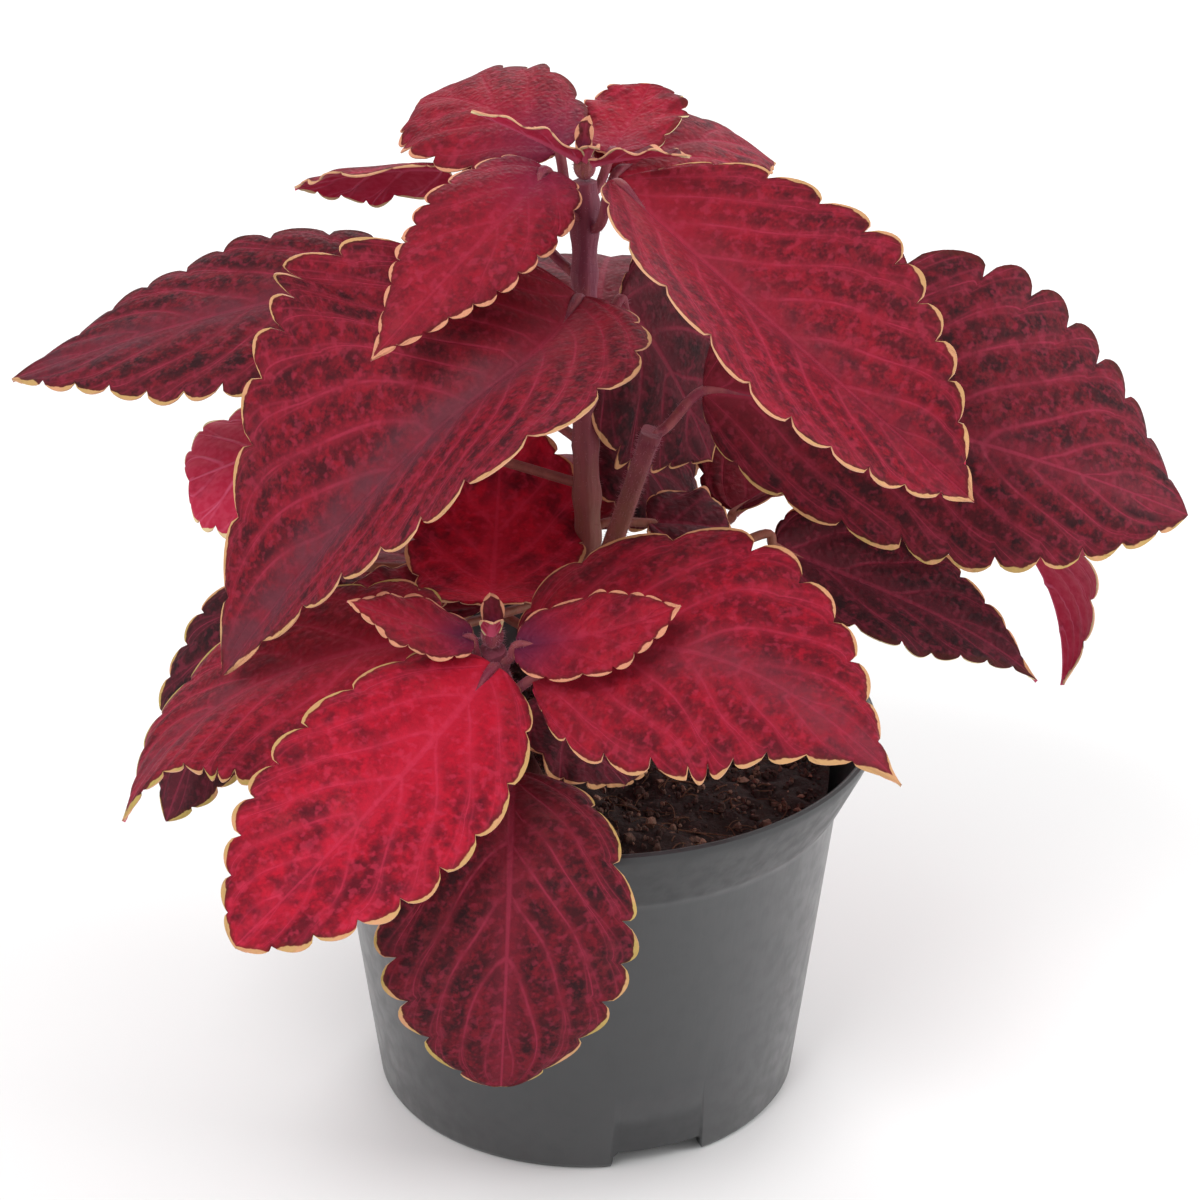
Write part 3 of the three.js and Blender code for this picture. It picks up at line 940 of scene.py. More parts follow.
@dataclass(frozen=True)
class StemFinish:
    """Downy stem or stalk, purple with greener and paler stretches, tan where it is older.

    Attributes:
        name: Name of the material.
        main: Main colour.
        second: Colour of the blotches.
        pale: Colour of the raised streaks.
        old: Colour that it takes lower down, apart from the young shoot at the front.
        old_below: Height in metres below which it has that colour.
        old_fade: Height in metres over which that colour fades out.
        young_front: Y in metres in front of which it stays young, and where that has faded out.
    """

    name: str
    main: Colour
    second: Colour
    pale: Colour
    old: Colour = srgb(134, 92, 64)
    old_below: float = 0.125
    old_fade: float = 0.045
    young_front: tuple[float, float] = (-0.04, -0.015)

    RELIEF_DEPTH = 0.0002

    def material(self) -> bpy.types.Material:
        """Builds the material.

        Returns:
            The material.
        """
        surface = Surface(self.name, Gloss(specular=0.25, sheen=0.12, sheen_tint=srgb(236, 190, 210)))
        g = surface.graph
        spots = g.place_group(blotches(), Size=0.011, Cover=0.5)
        grain = g.place_group(fine_grain(), Size=0.0006, Stretch=9.0)
        _, y, z = g.split(g.where())
        height = g.plus(z, g.times(spots["Fine"], 0.02))
        aged = g.between(height, self.old_below, self.old_below + self.old_fade, 0.75, 0.0)
        aged = g.times(aged, g.between(y, *self.young_front))
        body = g.blend(g.times(spots["Mask"], 0.8), self.main, self.second)
        body = g.blend(aged, body, self.old)
        body = g.blend(g.times(grain["Streak"], 0.4), body, self.pale)
        roughness = g.between(grain["Streak"], 0.0, 1.0, 0.5, 0.68)
        return surface.finish(body, roughness, grain["Height"], self.RELIEF_DEPTH)


@dataclass(frozen=True)
class PeatFinish:
    """Damp dark peat.

    Attributes:
        name: Name of the material.
        dark: Damp colour.
        dry: Colour of drier crumbs.
    """

    name: str
    dark: Colour
    dry: Colour

    RELIEF_DEPTH = 0.0005

    def material(self) -> bpy.types.Material:
        """Builds the material.

        Returns:
            The material.
        """
        surface = Surface(self.name, Gloss(specular=0.25))
        g = surface.graph
        spots = g.place_group(blotches(), Size=0.006, Cover=0.45)
        dryness, _, _ = g.mark("tint")
        share = g.math("ADD", g.times(spots["Mask"], 0.5), g.times(dryness, 0.8), clamp=True)
        body = g.blend(share, self.dark, self.dry)
        roughness = g.between(spots["Fine"], *FINE_SPREAD, 0.78, 0.95)
        return surface.finish(body, roughness, g.noise(1500.0, 5.0), self.RELIEF_DEPTH)


@dataclass(frozen=True)
class PlasticFinish:
    """Satin grey moulded plastic, a little scuffed and dusty near its foot and darker on its collar.

    Attributes:
        name: Name of the material.
        colour: Main colour.
        streak: Colour of its fine streaks.
        scuffed: Colour of scuffs and dust.
        collar: Colour of the collar.
        soiled: Colour of the inside.
    """

    name: str = "pot_plastic"
    colour: Colour = srgb(46, 47, 49)
    streak: Colour = srgb(40, 41, 43)
    scuffed: Colour = srgb(76, 75, 74)
    collar: Colour = srgb(26, 27, 29)
    soiled: Colour = srgb(50, 42, 40)

    GLOSS = Gloss(specular=0.6, coat=0.45, coat_roughness=0.28)
    COLLAR_COAT = 0.05
    RELIEF_DEPTH = 0.00003

    def material(self) -> bpy.types.Material:
        """Builds the material.

        Returns:
            The material.
        """
        surface = Surface(self.name, self.GLOSS)
        g = surface.graph
        grain = g.place_group(fine_grain(), Size=0.0011, Stretch=5.0)
        spots = g.place_group(blotches(), Size=0.016, Cover=0.38)
        inside, low, on_collar = g.mark("tint")
        dust = g.times(low, spots["Fine"])
        share = g.math("ADD", g.times(dust, 0.4), g.times(spots["Mask"], 0.05), clamp=True)
        body = g.blend(share, self.colour, self.scuffed)
        body = g.blend(g.times(grain["Streak"], 0.08), body, self.streak)
        body = g.blend(g.times(on_collar, 0.6), body, self.collar)
        body = g.blend(g.times(inside, 0.7), body, self.soiled)
        roughness = g.plus(g.between(spots["Fine"], 0.3, 0.75, 0.34, 0.5), g.times(dust, 0.25))
        coat = g.between(on_collar, 0.0, 1.0, self.GLOSS.coat, self.COLLAR_COAT)
        g.feed(surface.shader.inputs["Coat Weight"], coat)
        return surface.finish(body, roughness, grain["Height"], self.RELIEF_DEPTH)


@dataclass(frozen=True)
class FloorFinish:
    """Plain pale floor.

    Attributes:
        name: Name of the material.
        colour: Its colour.
        cloud: Colour of its faint clouds.
    """

    name: str = "pale_floor"
    colour: Colour = (0.86, 0.86, 0.86, 1.0)
    cloud: Colour = (0.8, 0.8, 0.8, 1.0)

    def material(self) -> bpy.types.Material:
        """Builds the material.

        Returns:
            The material.
        """
        surface = Surface(self.name, Gloss(specular=0.2))
        g = surface.graph
        clouds = g.noise(3.0, 2.0)
        body = g.blend(g.times(clouds, 0.05), self.colour, self.cloud)
        return surface.finish(body, 0.9, clouds, 0.0)


# ---- leaves --------------------------------------------------------------------------


@dataclass
class Blade:
    """A leaf blade that hangs on its midrib.

    Attributes:
        midrib: Three or four points along the midrib.
        width: Full width.
        roll: Tilt about the line from base to tip, in degrees.
        twist: Further turn from base to tip, in degrees.
        fold: How much the halves rise from the midrib, in degrees.
        cup: How much the halves curl down.
        blunt: Shape of the tip, smaller is blunter.
        skew: How much wider one half is.
        lobe: How far the base reaches back beside the stalk.
        scallops: Rounded teeth on each side.
        ripple: Height of the soft waves of the edge.
        lean: How far the side veins run on towards the tip, as a share of the length.
    """

    midrib: list[Point]
    width: float
    roll: float = 0.0
    twist: float = 0.0
    fold: float = 0.0
    cup: float = 0.12
    blunt: float = 1.05
    skew: float = 0.0
    lobe: float = 0.3
    scallops: int = 10
    ripple: float = 0.8
    lean: float = 0.3

    SCALLOP_DEPTH = 0.1
    TOOTH_LEAN, TOOTH_ROUND = 0.92, 0.55
    TOOTH_SIZES = (0.8, 1.15)
    TOOTH_DROOP = 0.55
    NOTCH_MARK = 0.7
    SWEEP = 0.42
    VEIN_PITCH = 11.5
    FEWEST_VEINS = 4
    QUILT = 0.45
    SWELL_FROM_VEIN, SWELL_FROM_RIB = 2.4, 2.0
    FULL_QUILT_WIDTH, FULL_RIDGE_WIDTH = 40, 30
    LINE_STEPS, EDGE_STEPS = 60, 600
    BASE_SHAPE = 0.55
    GROOVE_DEPTH, GROOVE_WIDTH = 0.35, 0.9
    RIB_HEIGHT, RIB_WIDTH = 0.9, 0.75
    VEIN_HEIGHT, VEIN_WIDTH = 0.28, 0.4
    THICKNESS, EDGE_THINNING = 0.5, 0.22

    def __post_init__(self) -> None:
        """Works out the chord, the side it faces and the length."""
        self.points = np.array(self.midrib, float)
        chord = unit(self.points[-1] - self.points[0])
        side = unit(np.cross(chord, (0.0, 0.0, 1.0)))
        self.side = turn(side, chord, math.radians(self.roll))
        line = self.centre(np.linspace(0, 1, self.LINE_STEPS))
        self.length = float(np.linalg.norm(np.diff(line, axis=0), axis=1).sum())
        self.vein_count = max(self.FEWEST_VEINS, round(self.length / self.VEIN_PITCH))
        self.steps = np.linspace(0, 1, self.EDGE_STEPS)
        edge = np.stack([self.steps * self.length, self.half_width(self.steps, 0 * self.steps)], axis=1)
        run = np.concatenate([[0], np.cumsum(np.linalg.norm(np.diff(edge, axis=0), axis=1))])
        self.edge_run = run / run[-1]

    def centre(self, along: Array) -> Array:
        """Finds points of the midrib, a smooth curve through its given points.

        Args:
            along: Places along it, 0 to 1.

        Returns:
            The points.
        """
        last = len(self.points) - 1
        along = np.asarray(along, float)[..., None]
        total = np.zeros(along.shape[:-1] + (3,))
        for i, point in enumerate(self.points):
            weight = np.ones_like(along)
            for j in range(last + 1):
                if j != i:
                    weight = weight * (along * last - j) / (i - j)
            total = total + weight * point
        return total

    def axes(self, along: Array) -> tuple[Array, Array, Array]:
        """Finds which way the blade faces.

        Args:
            along: Places along the midrib, 0 to 1.

        Returns:
            The ways along the midrib, across it and up from it.
        """
        step = 1e-3
        forward = unit(self.centre(along + step) - self.centre(along - step))
        across = unit(self.side - forward * (forward @ self.side)[..., None])
        across = turn(across, forward, np.radians(self.twist) * (along - 0.5)[..., None])
        return forward, across, np.cross(across, forward)

    def half_width(self, along: Array, across: Array) -> Array:
        """Finds the smooth half width, narrow at both ends.

        Args:
            along: Places along the midrib.
            across: Places across the blade, whose sign tells the half.

        Returns:
            The half width.
        """
        peak = self.BASE_SHAPE / (self.BASE_SHAPE + self.blunt)
        top = peak**self.BASE_SHAPE * (1 - peak) ** self.blunt
        outline = np.maximum(along, 0) ** self.BASE_SHAPE * np.maximum(1 - along, 0) ** self.blunt / top
        return self.width / 2 * outline * (1 + np.sign(across) * self.skew)

    def scallop(self, along: Array, across: Array, rng_name: str) -> Array:
        """Shapes the cut edge, with teeth of even length along it.

        Args:
            along: Places along the midrib.
            across: Places across the blade.
            rng_name: Name whose draws make some notches deeper.

        Returns:
            1 on a tooth's crown and 0 in a notch.
        """
        place_on = np.interp(along, self.steps, self.edge_run) * self.scallops
        number = np.clip(np.floor(place_on), 0, self.scallops - 1).astype(int)
        share = np.clip(place_on - number, 0, 1) ** self.TOOTH_LEAN
        sizes = draws(rng_name).uniform(*self.TOOTH_SIZES, (2, self.scallops))
        size = np.where(across < 0, sizes[0][number], sizes[1][number])
        return 1 - (1 - np.abs(np.sin(np.pi * share)) ** self.TOOTH_ROUND) * size

    def vein_number(self, along: Array, across: Array) -> Array:
        """Counts the side veins between the base and each place.

        Args:
            along: Places along the midrib.
            across: Places across the blade.

        Returns:
            The count, whole on a vein and a little different on the two halves.
        """
        reach = np.abs(across)
        lean = self.lean * reach**1.2
        phase = self.length + np.sign(across)
        wobble = 0.016 * np.sin(8 * along + phase) + 0.008 * np.sin(19 * along + 5 * reach + 2 * phase)
        return (along - lean + wobble) * self.vein_count + 0.12 * np.sign(across)

    def surface(self, along: Array, across: Array, name: str) -> dict[str, Array]:
        """Works out the upper face over a grid.

        Args:
            along: Column of places along the midrib, 0 to 1.
            across: Row of places across the blade, -1 to 1.
            name: Name whose draws shape the edge.

        Returns:
            The points, the vein and place marks and the thickness, over the grid.
        """
        flat = along[:, 0]
        forward, sideways, up = (axis[:, None, :] for axis in self.axes(flat))
        along, across = np.broadcast_arrays(along, across)
        reach = np.abs(across)
        tooth = self.scallop(along, across, name)
        smooth = self.half_width(along, across)
        depth = np.minimum(self.SCALLOP_DEPTH * (smooth + 0.3 * self.width / 2), 0.3 * smooth)
        half = smooth - depth * (1 - tooth) * reach**4
        started = np.minimum(1, 3 * along)
        sweep = self.SWEEP * started - self.lobe * (1 - started)
        fold = math.radians(self.fold)
        wave = np.sin(6 * np.pi * along + np.where(across > 0, 1.7, 0)) * half / self.width * 2
        lift = half * reach * math.sin(fold) - self.cup * half * across**2 + self.ripple * across**2 * wave

        number = self.vein_number(along, across)
        spacing = self.length / self.vein_count
        from_vein = np.abs((number + 0.5) % 1 - 0.5) * spacing * VEIN_SLANT
        from_rib = reach * half
        grown = min(1, self.width / self.FULL_QUILT_WIDTH)
        swell = (1 - bell(from_vein, self.SWELL_FROM_VEIN)) * (1 - bell(from_rib, self.SWELL_FROM_RIB))
        lift = lift + self.QUILT * grown * swell * (1 - reach**5)
        lift = lift - self.GROOVE_DEPTH * bell(from_rib, self.GROOVE_WIDTH) * (1 - along)
        lift = lift - self.TOOTH_DROOP * grown * ramp(reach, 0.8, 1.0) * tooth

        points = self.centre(flat)[:, None, :] + sideways * (half * across * math.cos(fold))[..., None]
        points = points + up * lift[..., None] + forward * (half * reach * sweep)[..., None]
        edge = (1 - reach) * half * 0.9 + self.NOTCH_MARK * (1 - tooth)
        ridge = self.RIB_HEIGHT * bell(from_rib, self.RIB_WIDTH) * (1 - 0.75 * along)
        ridge = ridge + self.VEIN_HEIGHT * bell(from_vein, self.VEIN_WIDTH) * (1 - reach)
        ridge = ridge * min(1, self.width / self.FULL_RIDGE_WIDTH)
        flesh = self.THICKNESS - self.EDGE_THINNING * reach**2
        return {
            "points": points,
            "vein": np.stack([number, reach, edge], -1),
            "place": np.stack([along, across * half, np.full_like(along, spacing)], -1),
            "thick": flesh + ridge * (1 - reach**4),
        }


def grid_normals(points: Array) -> Array:
    """Finds which way a grid of points faces.

    Args:
        points: Rows by columns of points.

    Returns:
        The normals over the grid.
    """
    down = np.gradient(points, axis=0)
    over = np.gradient(points, axis=1)
    return unit(np.cross(over, down))


class BladeMaker:
    """Turns blades into closed meshes with an upper face, an under face and an edge."""

    UPPER, UNDER, EDGE, STALK, HAIR = range(5)
    END_ROWS = 4
    CROWDING = 1.45

    def __init__(self, rows_per_scallop: int = 10, columns: int = 15) -> None:
        """Sets how fine the mesh is.

        Args:
            rows_per_scallop: Rows of points on each rounded tooth.
            columns: Columns of points on each half.
        """
        self.rows_per_scallop = rows_per_scallop
        self.columns = columns

    def add(self, parts: MeshParts, blade: Blade, name: str, tint: Point, plain: int = 0) -> None:
        """Adds one blade.

        Args:
            parts: The piece that it belongs to.
            blade: The blade.
            name: Name whose draws shape its edge.
            tint: Painted light, strength of the purple heart and of the painted midrib sheen, and
                greenness of the margin.
            plain: Half without a pale margin, 1 or -1, or 0 for neither.
        """
        rows = blade.scallops * self.rows_per_scallop
        along = np.interp(np.linspace(0, 1, rows + 1), blade.edge_run, blade.steps)[:, None]
        out = 1 - (1 - np.linspace(0, 1, self.columns + 1)) ** self.CROWDING
        across = np.concatenate([-out[:0:-1], out])[None, :]
        face = blade.surface(along, across, name)
        points, thick = face["points"], face["thick"]
        normals = grid_normals(points)
        ends = blade.axes(along[:, 0])[2]
        for rows_at_end in (slice(self.END_ROWS), slice(-self.END_ROWS, None)):
            normals[rows_at_end] = ends[rows_at_end, None, :]
        under = points - normals * thick[..., None]
        tints = np.broadcast_to(np.array(tint), points.shape).copy()
        tints[..., 2] = np.where(across * plain > 0, -1, tint[2])
        marks = {"vein": face["vein"], "place": face["place"], "tint": tints}
        top = parts.add_points(points, **marks)
        bottom = parts.add_points(under, **marks)
        parts.skin(top, self.UPPER)
        parts.skin(bottom, self.UNDER, flip=True)
        for column, half, flip in ((0, -1, True), (-1, 1, False)):
            band = np.stack([top[:, column], bottom[:, column]], axis=1)
            parts.skin(band, self.UNDER if half == plain else self.EDGE, flip=flip)


# ---- tubes ---------------------------------------------------------------------------


def smooth_path(points: Array, steps: int) -> Array:
    """Runs a smooth curve through points.

    Args:
        points: The points that it passes.
        steps: Steps between two of them.

    Returns:
        Points of the curve.
    """
    points = np.asarray(points, float)
    padded = np.vstack([2 * points[0] - points[1], points, 2 * points[-1] - points[-2]])
    pieces = []
    for k in range(len(points) - 1):
        a, b, c, d = padded[k:k + 4]
        u = np.linspace(0, 1, steps, endpoint=False)[:, None]
        pieces.append(0.5 * (2 * b + (c - a) * u + (2 * a - 5 * b + 4 * c - d) * u**2
                             + (3 * b - a - 3 * c + d) * u**3))
    return np.vstack(pieces + [points[-1:]])


@dataclass
class Tube:
    """A round strand along a path: a stem, stalk, growing tip or fibre.

    Attributes:
        path: Points of its axis.
        radius: Radius at each point.
        sides: Points round it.
        groove: Depth of the channel on its upper side, as a share of the radius.
        square: How square its section is, as a share of the radius.
    """

    path: Array
    radius: Array
    sides: int = 14
    groove: float = 0.0
    square: float = 0.0

    STEEP = 0.95
    GROOVE_ANGLE = 0.45

    def axes(self) -> tuple[Array, Array, Array]:
        """Finds which way the tube runs, without a twist between one point and the next.

        Returns:
            The ways along, sideways and up at each point of the axis.
        """
        along = unit(np.gradient(self.path, axis=0))
        steep = np.abs(along[:, 2:3]) > self.STEEP
        sideways = np.cross(along, np.where(steep, (0.0, 1.0, 0.0), (0.0, 0.0, 1.0)))
        for row in range(1, len(sideways)):
            sideways[row] = sideways[row - 1] - along[row] * (along[row] @ sideways[row - 1])
            sideways[row] /= np.linalg.norm(sideways[row])
        sideways[0] = unit(sideways[0])
        return along, sideways, np.cross(sideways, along)

    def rings(self) -> Array:
        """Finds the points round the axis.

        Returns:
            The points, ring by ring.
        """
        _, sideways, up = self.axes()
        angle = round_angles(self.sides)
        from_top = np.abs((angle - np.pi / 2 + np.pi) % (2 * np.pi) - np.pi)
        shape = 1 - self.groove * bell(from_top, self.GROOVE_ANGLE) + self.square * np.cos(4 * angle)
        reach = self.radius[:, None, None] * shape[None, :, None]
        over, rise = np.cos(angle)[None, :, None], np.sin(angle)[None, :, None]
        return self.path[:, None, :] + reach * (sideways[:, None, :] * over + up[:, None, :] * rise)

    def add(self, parts: MeshParts, slot: int) -> Array:
        """Adds the tube to a piece.

        Args:
            parts: The piece.
            slot: Material slot.

        Returns:
            Its points, ring by ring.
        """
        rings = self.rings()
        ids = parts.add_points(rings)
        parts.skin(ids, slot, round_way=True)
        parts.cap_ends(ids, slot)
        return rings


@dataclass
class Down:
    """Short fine hairs that stand on a tube.

    Attributes:
        length: Their usual length.
        thickness: Their thickness at the foot.
    """

    length: float = 0.9
    thickness: float = 0.09

    LENGTHS = (0.5, 1.2)
    TOUSLE = 0.35
    ROOT = 0.15

    def add(self, parts: MeshParts, rings: Array, count: int, slot: int, name: str) -> None:
        """Adds hairs, each a slim closed spike.

        Args:
            parts: The piece that they belong to.
            rings: Points of the tube, ring by ring.
            count: How many hairs there are.
            slot: Material slot.
            name: Name whose draws place them.
        """
        rng = draws(name + "_down")
        row = rng.integers(1, len(rings) - 1, count)
        column = rng.integers(0, rings.shape[1], count)
        blend = rng.random((count, 1))
        centre = rings.mean(axis=1)
        foot = rings[row, column] * blend + rings[row - 1, column] * (1 - blend)
        middle = centre[row] * blend + centre[row - 1] * (1 - blend)
        out = unit(foot - middle)
        lean = unit(out + rng.normal(0, self.TOUSLE, (count, 3)))
        tip = foot + lean * (self.length * rng.uniform(*self.LENGTHS, (count, 1)))
        first = unit(np.cross(lean, rng.normal(0, 1, (count, 3))))
        second = np.cross(lean, first)
        base = foot - out * self.ROOT
        corners = [base + self.thickness / 2 * (first * math.cos(a) + second * math.sin(a))
                   for a in (0, 2 * math.pi / 3, 4 * math.pi / 3)]
        ids = parts.add_points(np.stack(corners + [tip], axis=1))
        for order in ((0, 2, 1), (0, 1, 3), (1, 2, 3), (2, 0, 3)):
            parts.add_faces(ids[:, order], slot)


# ---- stems ---------------------------------------------------------------------------


class StemName(Enum):
    """The stems that leaves grow from."""

    MAIN = "main"
    RIGHT = "right"
    FRONT = "front"


@dataclass
class Stem:
    """One stem, squarish and a little swollen where leaves leave it.

    Attributes:
        path: Points of its axis.
        radius: Its radius.
        joints: Heights where leaves leave it.
    """

    path: list[Point]
    radius: float = 2.5
    joints: list[float] = field(default_factory=list)

    STOUT, TAPER = 1.04, 0.14
    SWELLING, SWELLING_WIDTH = 0.32, 1.8
    HAIRS = 1500
    SKIN, HAIR = range(2)

    def axis(self) -> Array:
        """Returns points of the stem's axis."""
        return smooth_path(np.array(self.path), 40)

    def at(self, height: float) -> Array:
        """Returns the point of the axis at a height."""
        axis = self.axis()
        return axis[np.abs(axis[:, 2] - height).argmin()]

    def add(self, parts: MeshParts, name: str) -> None:
        """Adds the stem and its hairs to a piece.

        Args:
            parts: The piece.
            name: Name whose draws place the hairs.
        """
        axis = self.axis()
        radius = self.radius * (self.STOUT - self.TAPER * np.linspace(0, 1, len(axis)))
        for height in self.joints:
            radius = radius + self.SWELLING * bell(axis[:, 2] - height, self.SWELLING_WIDTH)
        rings = Tube(axis, radius, sides=24, square=0.07).add(parts, self.SKIN)
        Down().add(parts, rings, self.HAIRS, self.HAIR, name)


STEMS = {
    StemName.MAIN: Stem([(0, 0, 50.3), (1, 1, 90), (0, 1, 150), (0, 0, 197)]),
    StemName.RIGHT: Stem([(0, 1, 104), (6, -8, 126), (13, -14.5, 151)], radius=2.2),
    StemName.FRONT: Stem([(-5, -9, 50.3), (-9, -17, 72), (-15, -31, 95), (-17.5, -43, 118)]),
}


class Stems:
    """Both stems of the plant, the main one with its side branch."""

    NODES = {"stem_main": (StemName.MAIN, StemName.RIGHT), "stem_front": (StemName.FRONT,)}

    def __init__(self, leaves: list["Leaf"]) -> None:
        """Notes where the leaves leave the stems.

        Args:
            leaves: All leaves.
        """
        for leaf in leaves:
            STEMS[leaf.stem].joints.append(leaf.root)

    def build(self) -> None:
        """Builds and dresses both stems."""
        skin = StemFinish("stem_skin", srgb(104, 34, 56), srgb(124, 56, 58), srgb(152, 78, 88))
        hair = StemFinish("stem_down", srgb(160, 92, 116), srgb(146, 92, 100), srgb(190, 140, 150))
        materials = [skin.material(), hair.material()]
        for node, names in self.NODES.items():
            parts = MeshParts(node + "_grown")
            for name in names:
                STEMS[name].add(parts, name.value)
            place(parts.build(materials), "stem", node)


# ---- the leaves of this plant --------------------------------------------------------


class Face(Enum):
    """Finishes that the face of a leaf can have."""

    UPPER = "upper"
    YOUNG = "young"
    UNDER = "under"


@dataclass
class Leaf:
    """A leaf with its stalk.

    Attributes:
        node: Node that it stands for.
        stem: Stem that it grows from.
        root: Height of its root on the stem.
        painted_light: Painted light on the leaf, 0 for a shaded leaf to 1 for a sunlit one.
        blade: Its blade.
        face: Finish of the face that looks up.
        dusk_and_sheen: Strength of a young leaf's purple heart, and of the painted purple-grey sheen along
            an older leaf's midrib, 0 to 1.
        green: How green its pale margin is, 0 to 1.
        plain: Half that shows no pale margin, 1 or -1, or 0 for neither.
    """

    node: str
    stem: StemName
    root: float
    painted_light: float
    blade: Blade
    face: Face = Face.UPPER
    dusk_and_sheen: float = 0.15
    green: float = 0.3
    plain: int = 0

    STALK_RADIUS = 1.1
    SINK = 0.35
    LEAVE_OUT, LEAVE_UP = 1.8, 1.5
    LONG_STALK, STRAIGHT_END = 12, 5
    HAIRS = 160

    def stalk(self) -> Tube:
        """Shapes the stalk, from inside the stem to the blade's first tenth.

        Returns:
            The stalk.
        """
        forward, _, up = (axis[0] for axis in self.blade.axes(np.zeros(1)))
        start = STEMS[self.stem].at(self.root)
        base = self.blade.points[0] - up * self.SINK
        outward = unit(np.array([base[0] - start[0], base[1] - start[1], 0.0]))
        leave = start + outward * (STEMS[self.stem].radius + self.LEAVE_OUT) + (0, 0, self.LEAVE_UP)
        sunk = self.blade.centre(np.array([0.1]))[0] - up * (self.SINK + 0.35)
        points = [start, leave, base, sunk]
        if np.linalg.norm(leave - base) > self.LONG_STALK:
            points.insert(2, base - forward * self.STRAIGHT_END)
        path = smooth_path(np.array(points), 9)
        share = np.linspace(0, 1, len(path))
        radius = self.STALK_RADIUS * (1.3 - 0.35 * ramp(share, 0, 0.25) - 0.55 * ramp(share, 0.7, 1.0))
        return Tube(path, radius * min(1, 0.55 + self.blade.width / 60), groove=0.2)

    def build(self, maker: BladeMaker, finishes: dict[str, bpy.types.Material]) -> None:
        """Builds and dresses the leaf.

        Args:
            maker: What makes blades.
            finishes: Materials by name.
        """
        parts = MeshParts(self.node + "_grown")
        maker.add(parts, self.blade, self.node, (self.painted_light, self.dusk_and_sheen, self.green), self.plain)
        rings = self.stalk().add(parts, maker.STALK)
        Down(0.7, 0.07).add(parts, rings, self.HAIRS, maker.HAIR, self.node)
        materials = [finishes[name] for name in (self.face.value, "under", "edge", "stalk", "down")]
        place(parts.build(materials), "leaf", self.node)


def far_leaf(node: str, root: float, compass: float, reach: float, width: float, painted_light: float) -> Leaf:
    """Places a leaf on the far side: level to two thirds of its reach, then drooping.

    Args:
        node: Node that it stands for.
        root: Height of its root on the main stem.
        compass: Way it points, in degrees from the x axis.
        reach: Distance of its tip from the stem.
        width: Full width.
        painted_light: Painted light on the leaf, 0 for a shaded leaf to 1 for a sunlit one.

    Returns:
        The leaf.
    """
    start, bend, rise, droop = 0.25, 0.62, 8, 30
    ways = math.cos(math.radians(compass)), math.sin(math.radians(compass))
    midrib = [
        (ways[0] * reach * share, ways[1] * reach * share, root + height)
        for share, height in ((start, rise), (bend, rise), (1, rise - droop))
    ]
    return Leaf(node, StemName.MAIN, root, painted_light, Blade(midrib, width, scallops=9))


